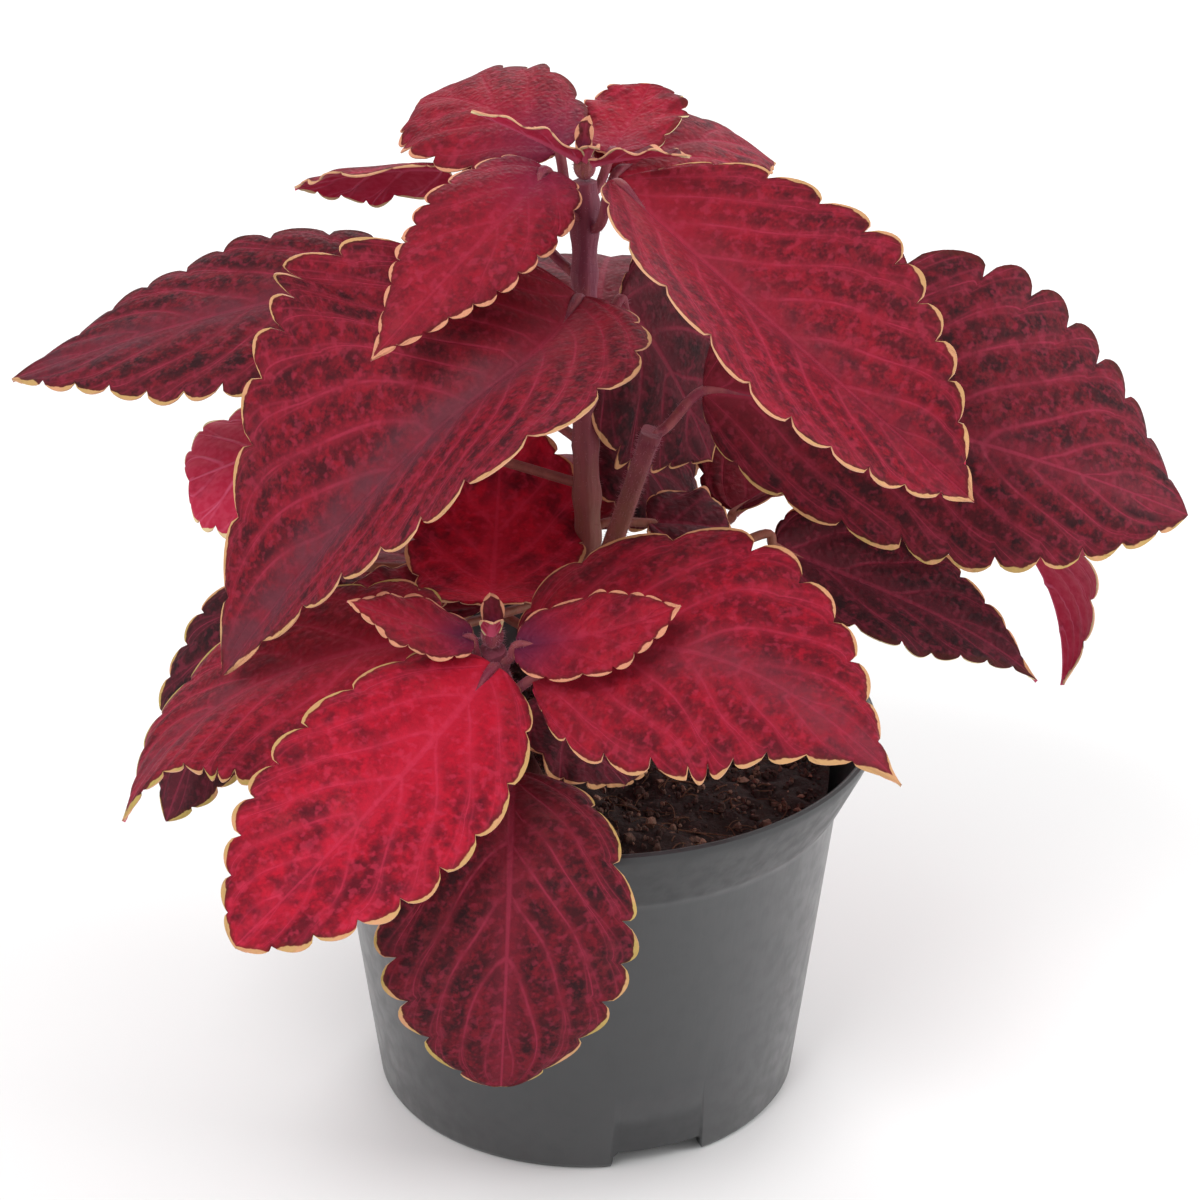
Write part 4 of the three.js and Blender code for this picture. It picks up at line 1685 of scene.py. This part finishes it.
def leaf_list() -> list[Leaf]:
    """Lists the leaves, from the top of the main stem down, then those of the front stem.

    Returns:
        Every leaf, with the midribs in millimetres.
    """
    main, right, front = StemName.MAIN, StemName.RIGHT, StemName.FRONT
    return [
        # The number after each root height is the leaf's painted light, from shaded 0 to sunlit 1.
        Leaf("leaf_upper_right", main, 188, 0.56, Blade(
            [(6, -6, 199), (38, -34, 178), (72, -51, 152)], 56, roll=20, twist=30, fold=25,
            cup=-0.1, skew=0.05, lobe=-0.2, scallops=12), dusk_and_sheen=0.25),
        Leaf("leaf_upper_left", main, 190, 0.58, Blade(
            [(-7, -8, 202), (-19, -28, 195), (-39, -46, 178)], 27, roll=-20, fold=5, skew=0.1,
            lobe=0.5, scallops=12), face=Face.YOUNG, dusk_and_sheen=0.5, green=0.0),
        Leaf("leaf_top_back_left", main, 192, 0.57, Blade(
            [(-5, 4, 202), (-20, 20, 206), (-33, 34, 203)], 36, roll=-20, blunt=0.95, lobe=0.1),
            face=Face.YOUNG, dusk_and_sheen=0.6, green=0.0, plain=1),
        Leaf("leaf_top_back_right", main, 193, 0.66, Blade(
            [(5, 6, 201), (9, 18, 204), (13, 28, 208)], 22, fold=10, blunt=0.8, scallops=9),
            face=Face.YOUNG, dusk_and_sheen=0.3, green=0.0, plain=1),
        Leaf("leaf_upper_back_right", main, 186, 0.55, Blade(
            [(6, 8, 196), (23, 26, 197), (39, 42, 187)], 30, roll=20, fold=5, scallops=11)),
        Leaf("leaf_upper_back_left", main, 178, 0.6, Blade(
            [(-28, 14, 196), (-43, 20, 193), (-58, 24, 188)], 26, roll=30, fold=-10, scallops=7)),
        Leaf("leaf_middle_left", main, 169, 0.5, Blade(
            [(-1, -12, 178), (-13, -37, 173), (-34, -41, 156), (-70, -36, 109)], 72, roll=-20,
            twist=10, fold=20, cup=0, blunt=0.85, skew=0.25, lobe=0.1, scallops=12), dusk_and_sheen=0.75),
        Leaf("leaf_far_left", main, 160, 0.34, Blade(
            [(-37, 12, 172), (-71, 12, 166), (-115, 11, 152)], 46, roll=-20, twist=20, fold=5,
            blunt=0.95, skew=-0.05, scallops=11), dusk_and_sheen=0.6, green=0.5, plain=1),
        Leaf("leaf_middle_back_right", main, 160, 0.1, Blade(
            [(7, 8, 170), (17, 14, 153), (26, 18, 131)], 46, roll=65, scallops=9)),
        Leaf("leaf_far_right", right, 150, 0.3, Blade(
            [(23, -8, 157), (70, -18, 152), (118, -16, 134)], 62, roll=55, twist=-40, cup=0.25,
            blunt=0.85, skew=-0.2, lobe=0.2, scallops=12), green=0.6, plain=-1),
        Leaf("leaf_low_right", main, 102, 0.05, Blade(
            [(39, 12, 115), (59, 12, 106), (78, 8, 98), (93, 2, 89)], 34, roll=20, fold=15,
            blunt=1.4, scallops=9), plain=1),
        # Its upper face takes the pinker underside finish, a painted glow of light shining through the
        # leaf.
        Leaf("leaf_side_left", main, 132, 1.0, Blade(
            [(-52, 15, 140), (-67, 15, 134), (-81, 15, 128)], 34, roll=-25, blunt=0.6, scallops=8),
            face=Face.UNDER, green=0.0),
        Leaf("leaf_low_back_left", main, 112, 0.05, Blade(
            [(-51, 2, 113), (-69, -10, 100), (-85, -20, 68)], 34, roll=-20, blunt=0.8), green=0.8),
        Leaf("leaf_inner_centre", main, 130, 0.1, Blade(
            [(3, 28, 135), (13, 24, 127), (21, 18, 114)], 36, scallops=7)),
        Leaf("leaf_inner_right", main, 122, 0.05, Blade(
            [(13, 6, 123), (22, 7, 122), (30, 8, 120)], 22, roll=15, fold=15, scallops=7)),
        Leaf("leaf_inner_left", main, 108, 0.5, Blade(
            [(-31, -17, 113), (-39, -13, 115), (-47, -10, 116)], 26, roll=-10, scallops=7)),
        far_leaf("leaf_back_upper", 152, 85, 100, 54, painted_light=0.3),
        far_leaf("leaf_back_left", 142, 135, 105, 54, painted_light=0.4),
        far_leaf("leaf_back_centre", 106, 90, 100, 50, painted_light=0.5),
        far_leaf("leaf_back_low_left", 92, 140, 105, 48, painted_light=0.3),
        Leaf("leaf_back_low_right", main, 110, 0.3, Blade(
            [(31, 23, 118), (63, 42, 120), (93, 48, 102), (105, 46, 66)], 64, roll=5, twist=5,
            fold=30, scallops=9)),
        Leaf("leaf_front_shoot_back", front, 116, 1.0, Blade(
            [(-18, -30, 122), (-18, -5, 122), (-17, 17, 140)], 38, fold=5, blunt=0.6, scallops=9),
            dusk_and_sheen=0.0),
        Leaf("leaf_front_shoot_left", front, 115, 0.6, Blade(
            [(-21, -46, 122), (-32, -50, 127), (-44, -53, 133)], 14, roll=-30, fold=5, scallops=8),
            face=Face.YOUNG, dusk_and_sheen=0.9, green=0.0),
        Leaf("leaf_front_shoot_right", front, 115, 0.7, Blade(
            [(-13, -47, 121), (3, -52, 126), (18, -53, 132)], 18, roll=40, fold=5, scallops=8),
            face=Face.YOUNG, dusk_and_sheen=0.9, green=0.0),
        Leaf("leaf_front_left", front, 109, 0.9, Blade(
            [(-17, -48, 117), (-37, -74, 103), (-63, -98, 85)], 45, roll=-20, twist=15, fold=10,
            cup=0.15, blunt=0.8, skew=0.05, lobe=0.1), dusk_and_sheen=0.0, green=0.45),
        Leaf("leaf_front_right", front, 106, 0.7, Blade(
            [(-10, -47, 114), (23, -54, 122), (58, -79, 108)], 57, roll=30, twist=-25, cup=0.15,
            blunt=1.25, skew=-0.06, scallops=11), dusk_and_sheen=0.45, green=0.3),
        Leaf("leaf_low_left", front, 110, 0.64, Blade(
            [(-28, -40, 119), (-68, -37, 105), (-88, -58, 89)], 50, twist=45, fold=5, blunt=1.3,
            skew=-0.1, scallops=11), dusk_and_sheen=0.45, green=0.8),
        Leaf("leaf_front_hanging", front, 90, 0.3, Blade(
            [(-14, -46, 93), (-14, -74, 82), (-16, -76, 41)], 50, roll=-10, fold=5, blunt=0.65,
            scallops=9, lean=0.45), dusk_and_sheen=0.0, green=0.7),
        Leaf("leaf_front_under", front, 93, 0.1, Blade(
            [(-8, -20, 96), (1, -30, 91), (8, -38, 86)], 30, roll=-15, scallops=7)),
    ]


@dataclass
class ShootTip:
    """Young leaves still closed around a growing tip.

    Attributes:
        node: Node that it stands for.
        foot: Where the tip starts.
        blades: Its small leaves.
    """

    node: str
    foot: Point
    blades: list[Blade]

    # Painted light, strength of the purple heart, and greenness of the margin.
    TINT = (0.25, 1.0, 0.0)
    LENGTH, RADIUS = 5.4, 2.0
    HAIRS = 260

    def build(self, maker: BladeMaker, finishes: dict[str, bpy.types.Material]) -> None:
        """Builds and dresses the tip.

        Args:
            maker: What makes blades.
            finishes: Materials by name.
        """
        parts = MeshParts(self.node + "_grown")
        for number, blade in enumerate(self.blades):
            maker.add(parts, blade, f"{self.node}_{number}", self.TINT)
        share = np.linspace(0, 1, 15)
        path = np.array(self.foot) + np.stack([share * 0, share * 0, share * self.LENGTH], axis=1)
        radius = self.RADIUS * np.sqrt(np.maximum(1 - (2 * share - 1) ** 2, 0.01))
        rings = Tube(path, radius, sides=16, square=0.08).add(parts, maker.STALK)
        Down(1.0, 0.08).add(parts, rings, self.HAIRS, maker.HAIR, self.node)
        materials = [finishes[name] for name in ("young", "under", "edge", "stalk", "down")]
        place(parts.build(materials), "shoot", self.node)


def shoot_tips() -> list[ShootTip]:
    """Lists the growing tips.

    Returns:
        The tip of the main stem and that of the front stem.
    """
    top = [
        Blade([(-1, -1.5, 202), (-10, -8, 209), (-21, -12, 215)], 8, roll=10, fold=28, scallops=5),
        Blade([(1.5, -2, 201.5), (11, -11, 206), (20, -18, 208)], 8, roll=-10, fold=22, scallops=5),
        Blade([(0, -1, 201.5), (1, -4, 205), (3, -7, 206)], 4, fold=20, scallops=3, ripple=0),
        Blade([(0, 0.5, 201.5), (0, 2, 206), (1, 4, 209)], 4, fold=20, scallops=3, ripple=0),
    ]
    front = [
        Blade([(-17.5, -44.5, 121.5), (-17.5, -46.5, 125), (-17, -49, 126.5)], 5, fold=20,
              scallops=3, ripple=0),
        Blade([(-17.5, -43.5, 121.5), (-17.5, -42.5, 126), (-18, -41, 129)], 5, fold=20,
              scallops=3, ripple=0),
    ]
    return [
        ShootTip("shoot_tip_top", (0, 0, 197.3), top),
        ShootTip("shoot_tip_front", (-17.5, -43.6, 118.5), front),
    ]


class Foliage:
    """All leaves and growing tips."""

    def __init__(self) -> None:
        """Lists the leaves and the growing tips."""
        self.leaves = leaf_list()
        self.tips = shoot_tips()

    def finishes(self) -> dict[str, bpy.types.Material]:
        """Builds the finishes that leaves share.

        Returns:
            The materials by name.
        """
        finishes = {
            Face.UPPER.value: LeafFinish("leaf_upper_face", margin=srgb(204, 148, 112)),
            Face.YOUNG.value: LeafFinish("young_leaf_face", margin=srgb(206, 142, 112), margin_width=0.65,
                                         net_size=1.5, spot_size=0.0026, heart=0.95, vein_show=0.5,
                                         spot_show=0.45, dusk=srgb(70, 32, 60)),
            Face.UNDER.value: UndersideFinish(),
            "edge": EdgeFinish(),
            "stalk": StemFinish("stalk_skin", srgb(116, 38, 58), srgb(150, 104, 76), srgb(166, 98, 92)),
            "down": StemFinish("stalk_down", srgb(164, 98, 120), srgb(150, 96, 104), srgb(190, 146, 150)),
        }
        return {name: finish.material() for name, finish in finishes.items()}

    def build(self) -> None:
        """Builds every leaf and tip."""
        maker = BladeMaker()
        finishes = self.finishes()
        for leaf in self.leaves:
            leaf.build(maker, finishes)
        for tip in self.tips:
            tip.build(BladeMaker(rows_per_scallop=10, columns=8), finishes)


# ---- pot and soil --------------------------------------------------------------------


@dataclass
class Pot:
    """Tapered nursery pot with a flared collar and a notched foot.

    Attributes:
        height: Full height.
        rim_radius: Radius at the lip.
        collar_foot: Height where the collar starts.
        collar_foot_radius: Radius of the wall there.
        base_radius: Radius of the foot.
        wall: Wall thickness.
        foot_height: Height of the ring under the floor.
        notches: Notches in that ring.
        notch_width: Their width.
        notch_height: Their height.
        notch_bearing: Degrees right of the front where the first one is.
        segments: Faces round the pot.
    """

    height: float = 82
    rim_radius: float = 60
    collar_foot: float = 67
    collar_foot_radius: float = 52.5
    base_radius: float = 44
    wall: float = 1.6
    foot_height: float = 5
    notches: int = 3
    notch_width: float = 20
    notch_height: float = 4.2
    notch_bearing: float = 20
    segments: int = 240

    INSIDE_DEPTH = 1.2
    DUSTY_HEIGHT = 9

    def wall_radius(self, height: float) -> float:
        """Returns the wall's outer radius at a height."""
        return self.base_radius + (self.collar_foot_radius - self.base_radius) * height / self.collar_foot

    def profile(self) -> list[tuple[float, float]]:
        """Draws the pot's section, from its floor's underside round to the floor inside.

        Returns:
            Radii and heights.
        """
        floor_top = self.foot_height + self.wall
        rim, top = self.rim_radius, self.height
        return [
            (0.01, self.foot_height),
            (self.base_radius - 4, self.foot_height),
            (self.base_radius - 3.2, 0.2),
            (self.base_radius - 2.9, 0),
            (self.base_radius - 1.2, 0),
            (self.base_radius - 0.5, 0.4),
            (self.wall_radius(1), 1.4),
            (self.wall_radius(20), 20),
            (self.wall_radius(40), 40),
            (self.wall_radius(self.collar_foot - 2), self.collar_foot - 2),
            (self.wall_radius(self.collar_foot - 0.9) + 0.15, self.collar_foot - 0.9),
            (self.collar_foot_radius + 0.9, self.collar_foot + 0.3),
            (self.collar_foot_radius + 1.9, self.collar_foot + 2),
            (rim - 2.6, top - 7),
            (rim - 1.1, top - 4),
            (rim - 0.3, top - 2.2),
            (rim, top - 1.2),
            (rim - 0.15, top - 0.4),
            (rim - 0.7, top),
            (rim - 1.3, top - 0.15),
            (rim - 1.9, top - 0.8),
            (rim - 2.7, top - 3),
            (rim - 4.2, top - 7),
            (self.collar_foot_radius + 0.3, self.collar_foot + 2),
            (self.collar_foot_radius - 0.9, self.collar_foot - 0.6),
            (self.wall_radius(floor_top + 3) - self.wall, floor_top + 3),
            (self.wall_radius(floor_top) - self.wall - 2, floor_top),
            (0.01, floor_top),
        ]

    def marks(self, radius: Array, height: Array) -> Array:
        """Marks the inside, the stretch near the foot and the collar.

        Args:
            radius: Distances from the axis.
            height: Heights.

        Returns:
            The three marks, each 0 to 1.
        """
        outer = np.interp(height, [0, self.collar_foot, self.height],
                          [self.base_radius, self.collar_foot_radius, self.rim_radius])
        inside = (radius < outer - self.INSIDE_DEPTH) & (height > self.foot_height)
        low = 1 - ramp(height, 0, self.DUSTY_HEIGHT)
        collar = ramp(height, self.collar_foot - 1, self.collar_foot + 1)
        return np.stack([inside.astype(float), low, collar], axis=-1)

    def notch_cutters(self) -> list[bpy.types.Object]:
        """Makes the blocks that cut the notches, with rounded upper corners.

        Returns:
            One block for each notch.
        """
        cutters = []
        half, top = self.notch_width / 2, self.notch_height
        right = [(half - 1.2, top), (half - 0.3, top - 1), (half, 0.6), (half + 0.6, -1)]
        outline = [(-x, z) for x, z in reversed(right)] + right
        for number in range(self.notches):
            bearing = math.radians(self.notch_bearing + number * 360 / self.notches)
            parts = MeshParts(f"notch_{number}")
            depth = np.array([-self.base_radius - 6, -self.base_radius + 7.5])
            block = np.array([[(x, y, z) for x, z in outline] for y in depth])
            cosine, sine = math.cos(bearing), math.sin(bearing)
            turned = np.stack([block[..., 0] * cosine - block[..., 1] * sine,
                               block[..., 0] * sine + block[..., 1] * cosine, block[..., 2]], axis=-1)
            ids = parts.add_points(turned)
            parts.skin(ids, 0, round_way=True)
            parts.cap_ends(ids, 0)
            cutters.append(parts.build([]))
        return cutters

    def build(self) -> None:
        """Builds and dresses the pot."""
        parts = MeshParts("pot_moulded")
        profile = np.array(self.profile())
        angle = round_angles(self.segments)
        radius, height = profile[:, :1], profile[:, 1:]
        points = np.stack([radius * np.cos(angle), radius * np.sin(angle), height + 0 * angle], axis=-1)
        marks = self.marks(radius + 0 * angle, height + 0 * angle)
        ids = parts.add_points(points, tint=marks)
        parts.skin(ids, 0, flip=True, round_way=True)
        parts.cap_ends(ids, 0, flip=True)
        pot = parts.build([PlasticFinish().material()], sharp=40)
        for cutter in self.notch_cutters():
            cut = pot.modifiers.new(cutter.name, "BOOLEAN")
            cut.object = cutter
            cut.operation = "DIFFERENCE"
            cut.solver = "EXACT"
            apply_modifiers(pot)
            bpy.data.objects.remove(cutter)
        place(pot, "pot", "pot")


def apply_modifiers(piece: bpy.types.Object) -> None:
    """Replaces a piece's mesh by its shape with all modifiers.

    Args:
        piece: The piece.
    """
    graph = bpy.context.evaluated_depsgraph_get()
    shaped = bpy.data.meshes.new_from_object(piece.evaluated_get(graph))
    piece.modifiers.clear()
    piece.data = shaped


@dataclass
class Soil:
    """Peat that fills the pot, with crumbs and fibres on it.

    Attributes:
        pot: The pot that it fills.
        level: Height of its surface.
        crumbs: Loose crumbs on it.
        fibres: Loose fibres on it.
    """

    pot: Pot
    level: float = 70
    crumbs: int = 2600
    fibres: int = 240

    GAP = 0.45
    GRAINS = ((4.1, 0.35), (2.3, 0.28), (1.3, 0.2), (0.8, 0.13))
    WAVES = 4
    CRUMB_ROWS, CRUMB_COLUMNS = 3, 6
    FIBRE_STEPS = 8
    PEAT, CRUMB, FIBRE = range(3)

    def height(self, x: Array, y: Array) -> Array:
        """Finds the height of the lumpy surface, highest around the stems.

        Args:
            x: Places from left to right.
            y: Places from front to back.

        Returns:
            The heights.
        """
        mound = 1.6 - np.hypot(x, y) / 30
        lumps = 0.9 * np.sin(x / 6.3) * np.cos(y / 5.1) + 0.5 * np.sin((x + y) / 3.7)
        return self.level + mound + lumps

    def roughness(self, x: Array, y: Array) -> Array:
        """Finds small irregular lumps on top of that.

        Args:
            x: Places from left to right.
            y: Places from front to back.

        Returns:
            What is added to the height.
        """
        total = np.zeros_like(x)
        rng = draws("peat")
        for size, amount in self.GRAINS:
            for _ in range(self.WAVES):
                way, shift = rng.uniform(0, 2 * np.pi, 2)
                total = total + amount * np.sin((x * np.cos(way) + y * np.sin(way)) / size * 2 + shift) / 2
        return total

    def fill(self, parts: MeshParts) -> None:
        """Adds the body of peat.

        Args:
            parts: The piece.
        """
        foot = self.pot.foot_height + self.pot.wall + 0.3
        reach = self.pot.wall_radius(self.pot.collar_foot) - self.pot.wall - self.GAP
        angle = round_angles(220)
        radius = np.linspace(reach, 0.05, 74)[:, None]
        x, y = radius * np.cos(angle), radius * np.sin(angle)
        fade = ramp(reach - radius, 0, 3)
        z = self.height(x, y) + self.roughness(x, y) * fade
        low_reach = self.pot.wall_radius(foot) - self.pot.wall - self.GAP - 0.4
        side = [(low_reach, foot), (reach - 0.4, self.pot.collar_foot - 3)]
        walls = np.array([[(r * c, r * s, h) for c, s in zip(np.cos(angle), np.sin(angle))]
                          for r, h in side])
        ids = parts.add_points(np.concatenate([walls, np.stack([x, y, z], axis=-1)]))
        parts.skin(ids, self.PEAT, flip=True, round_way=True)
        parts.cap_ends(ids, self.PEAT, flip=True)

    def spots(self, rng: np.random.Generator, count: int) -> tuple[Array, Array]:
        """Draws places on the surface, clear of the stems.

        Args:
            rng: Where the draws come from.
            count: How many places there are.

        Returns:
            Their x and y.
        """
        reach = self.pot.wall_radius(self.pot.collar_foot) - self.pot.wall - 2.4
        radius = reach * np.sqrt(rng.uniform(0.006, 1, count))
        angle = rng.uniform(0, 2 * np.pi, count)
        return radius * np.cos(angle), radius * np.sin(angle)

    def add_crumbs(self, parts: MeshParts) -> None:
        """Adds crumbs, each a small knobbly closed lump.

        Args:
            parts: The piece.
        """
        rng = draws("crumbs")
        x, y = self.spots(rng, self.crumbs)
        sizes = rng.gamma(2.2, 0.17, self.crumbs) + 0.22
        polar = np.linspace(0, np.pi, self.CRUMB_ROWS + 2)[1:-1, None]
        turned = round_angles(self.CRUMB_COLUMNS)
        ball = np.stack([np.sin(polar) * np.cos(turned), np.sin(polar) * np.sin(turned),
                         np.cos(polar) + 0 * turned], axis=-1)
        ends = np.array([[0, 0, 1.0], [0, 0, -1.0]])
        for cx, cy, size in zip(x, y, sizes):
            squash = rng.uniform(0.55, 1.1, 3)
            knobs = rng.uniform(0.72, 1.2, (self.CRUMB_ROWS, self.CRUMB_COLUMNS, 1))
            centre = np.array([cx, cy, self.height(cx, cy) + 0.35 * size])
            tint = np.array([rng.random() ** 4, 0, 0])
            ids = parts.add_points(centre + ball * knobs * squash * size, tint=tint)
            poles = parts.add_points(centre + ends * squash * size, tint=tint)
            parts.skin(ids, self.CRUMB, round_way=True, flip=True)
            for ring, pole, flip in ((ids[0], poles[0], False), (ids[-1], poles[1], True)):
                fan = np.stack([ring, np.roll(ring, -1), np.full(self.CRUMB_COLUMNS, pole)], axis=-1)
                parts.add_faces(fan[:, ::-1] if flip else fan, self.CRUMB)

    def add_fibres(self, parts: MeshParts) -> None:
        """Adds fibres, each a thin bent closed strand.

        Args:
            parts: The piece.
        """
        rng = draws("fibres")
        x, y = self.spots(rng, self.fibres)
        steps = self.FIBRE_STEPS
        for cx, cy in zip(x * 0.93, y * 0.93):
            way, bend = rng.uniform(0, 2 * np.pi), rng.normal(0, 0.9)
            length = rng.uniform(2.5, 8)
            share = np.linspace(-0.5, 0.5, steps)
            heading = way + bend * share
            path_x = cx + length * np.cumsum(np.cos(heading)) / steps - length / 2 * math.cos(way)
            path_y = cy + length * np.cumsum(np.sin(heading)) / steps - length / 2 * math.sin(way)
            rise = self.height(path_x, path_y) + 0.55 + rng.uniform(0.1, 0.9) * np.cos(share * 3)
            radius = np.full(steps, rng.uniform(0.07, 0.17))
            Tube(np.stack([path_x, path_y, rise], axis=1), radius, sides=5).add(parts, self.FIBRE)

    def build(self) -> None:
        """Builds and dresses the soil."""
        parts = MeshParts("soil_filled")
        self.fill(parts)
        self.add_crumbs(parts)
        self.add_fibres(parts)
        materials = [
            PeatFinish("peat", srgb(50, 38, 36), srgb(88, 67, 60)).material(),
            PeatFinish("peat_crumb", srgb(70, 52, 48), srgb(176, 136, 116)).material(),
            PeatFinish("peat_fibre", srgb(96, 66, 50), srgb(158, 124, 96)).material(),
        ]
        place(parts.build(materials, sharp=35), "soil", "soil")


# ---- studio --------------------------------------------------------------------------


@dataclass(frozen=True)
class SoftLight:
    """A large soft light.

    Attributes:
        name: Its name.
        spot: Where it hangs, in metres.
        size: Its width and height in metres.
        power: Its power in watts.
    """

    name: str
    spot: Point
    size: tuple[float, float]
    power: float

    def hang(self, aim: Vector) -> None:
        """Hangs the light so that it faces the aim.

        Args:
            aim: The point that it faces.
        """
        data = bpy.data.lights.new(self.name, "AREA")
        data.shape = "RECTANGLE"
        data.size, data.size_y = self.size
        data.energy = self.power
        lamp = bpy.data.objects.new(self.name, data)
        lamp.location = self.spot
        lamp.rotation_euler = (aim - Vector(self.spot)).to_track_quat("-Z", "Y").to_euler()
        bpy.context.scene.collection.objects.link(lamp)


@dataclass
class Studio:
    """Camera, soft lights and a pale floor.

    Attributes:
        aim: Point that the camera looks at, in metres.
        distance: How far the camera stands from it, in metres.
        elevation: How far above the horizon the camera stands, in degrees.
        lens: Focal length in millimetres.
        sky: Brightness of the surroundings.
        lights: The soft lights.
    """

    aim: Point = (0.00295, 0.0, 0.1082)
    distance: float = 0.71
    elevation: float = 25.1
    lens: float = 105
    sky: float = 0.72
    lights: tuple[SoftLight, ...] = (
        SoftLight("key", (-0.45, -0.75, 1.05), (0.6, 0.6), 9.0),
        SoftLight("fill", (0.95, -0.1, 0.4), (0.5, 0.8), 5.5),
        SoftLight("back", (0.1, 0.95, 0.75), (0.9, 0.5), 5.0),
    )

    SENSOR = 36
    FLOOR_RADII = (0.05, 400, 9000)
    FLOOR_HEIGHT = -0.02
    FLOOR_SIDES = 96

    def place_camera(self) -> None:
        """Places the camera."""
        data = bpy.data.cameras.new("camera")
        data.lens = self.lens
        data.sensor_width = self.SENSOR
        camera = bpy.data.objects.new("camera", data)
        rise = math.radians(self.elevation)
        aim = Vector(self.aim)
        camera.location = aim + Vector((0, -math.cos(rise), math.sin(rise))) * self.distance
        camera.rotation_euler = (aim - camera.location).to_track_quat("-Z", "Y").to_euler()
        bpy.context.scene.collection.objects.link(camera)
        bpy.context.scene.camera = camera

    def lay_floor(self) -> None:
        """Lays the floor, a wide flat disc."""
        parts = MeshParts("floor")
        angle = round_angles(self.FLOOR_SIDES)
        rings = np.array([[(r * math.cos(a), r * math.sin(a), self.FLOOR_HEIGHT) for a in angle]
                          for r in self.FLOOR_RADII])
        ids = parts.add_points(rings)
        parts.skin(ids, 0, flip=True, round_way=True)
        parts.cap(ids[0], 0)
        floor = parts.build([FloorFinish().material()])
        report(floor)

    def light(self) -> None:
        """Sets the surroundings and hangs the lights."""
        scene = bpy.context.scene
        scene.world = bpy.data.worlds.new("surroundings")
        scene.world.use_nodes = True
        background = scene.world.node_tree.nodes["Background"]
        background.inputs["Color"].default_value = (1, 1, 1, 1)
        background.inputs["Strength"].default_value = self.sky
        for lamp in self.lights:
            lamp.hang(Vector(self.aim))
        scene.view_settings.view_transform = "Standard"

    def build(self) -> None:
        """Sets up camera, floor and lights."""
        self.place_camera()
        self.lay_floor()
        self.light()


def write_sizes() -> None:
    """Updates the view layer."""
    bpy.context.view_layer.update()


def main() -> None:
    """Builds the studio, pot, soil, stems and foliage, in that order."""
    Studio().build()
    pot = Pot()
    pot.build()
    Soil(pot).build()
    foliage = Foliage()
    Stems(foliage.leaves).build()
    foliage.build()
    write_sizes()


if __name__ == "__main__":
    main()
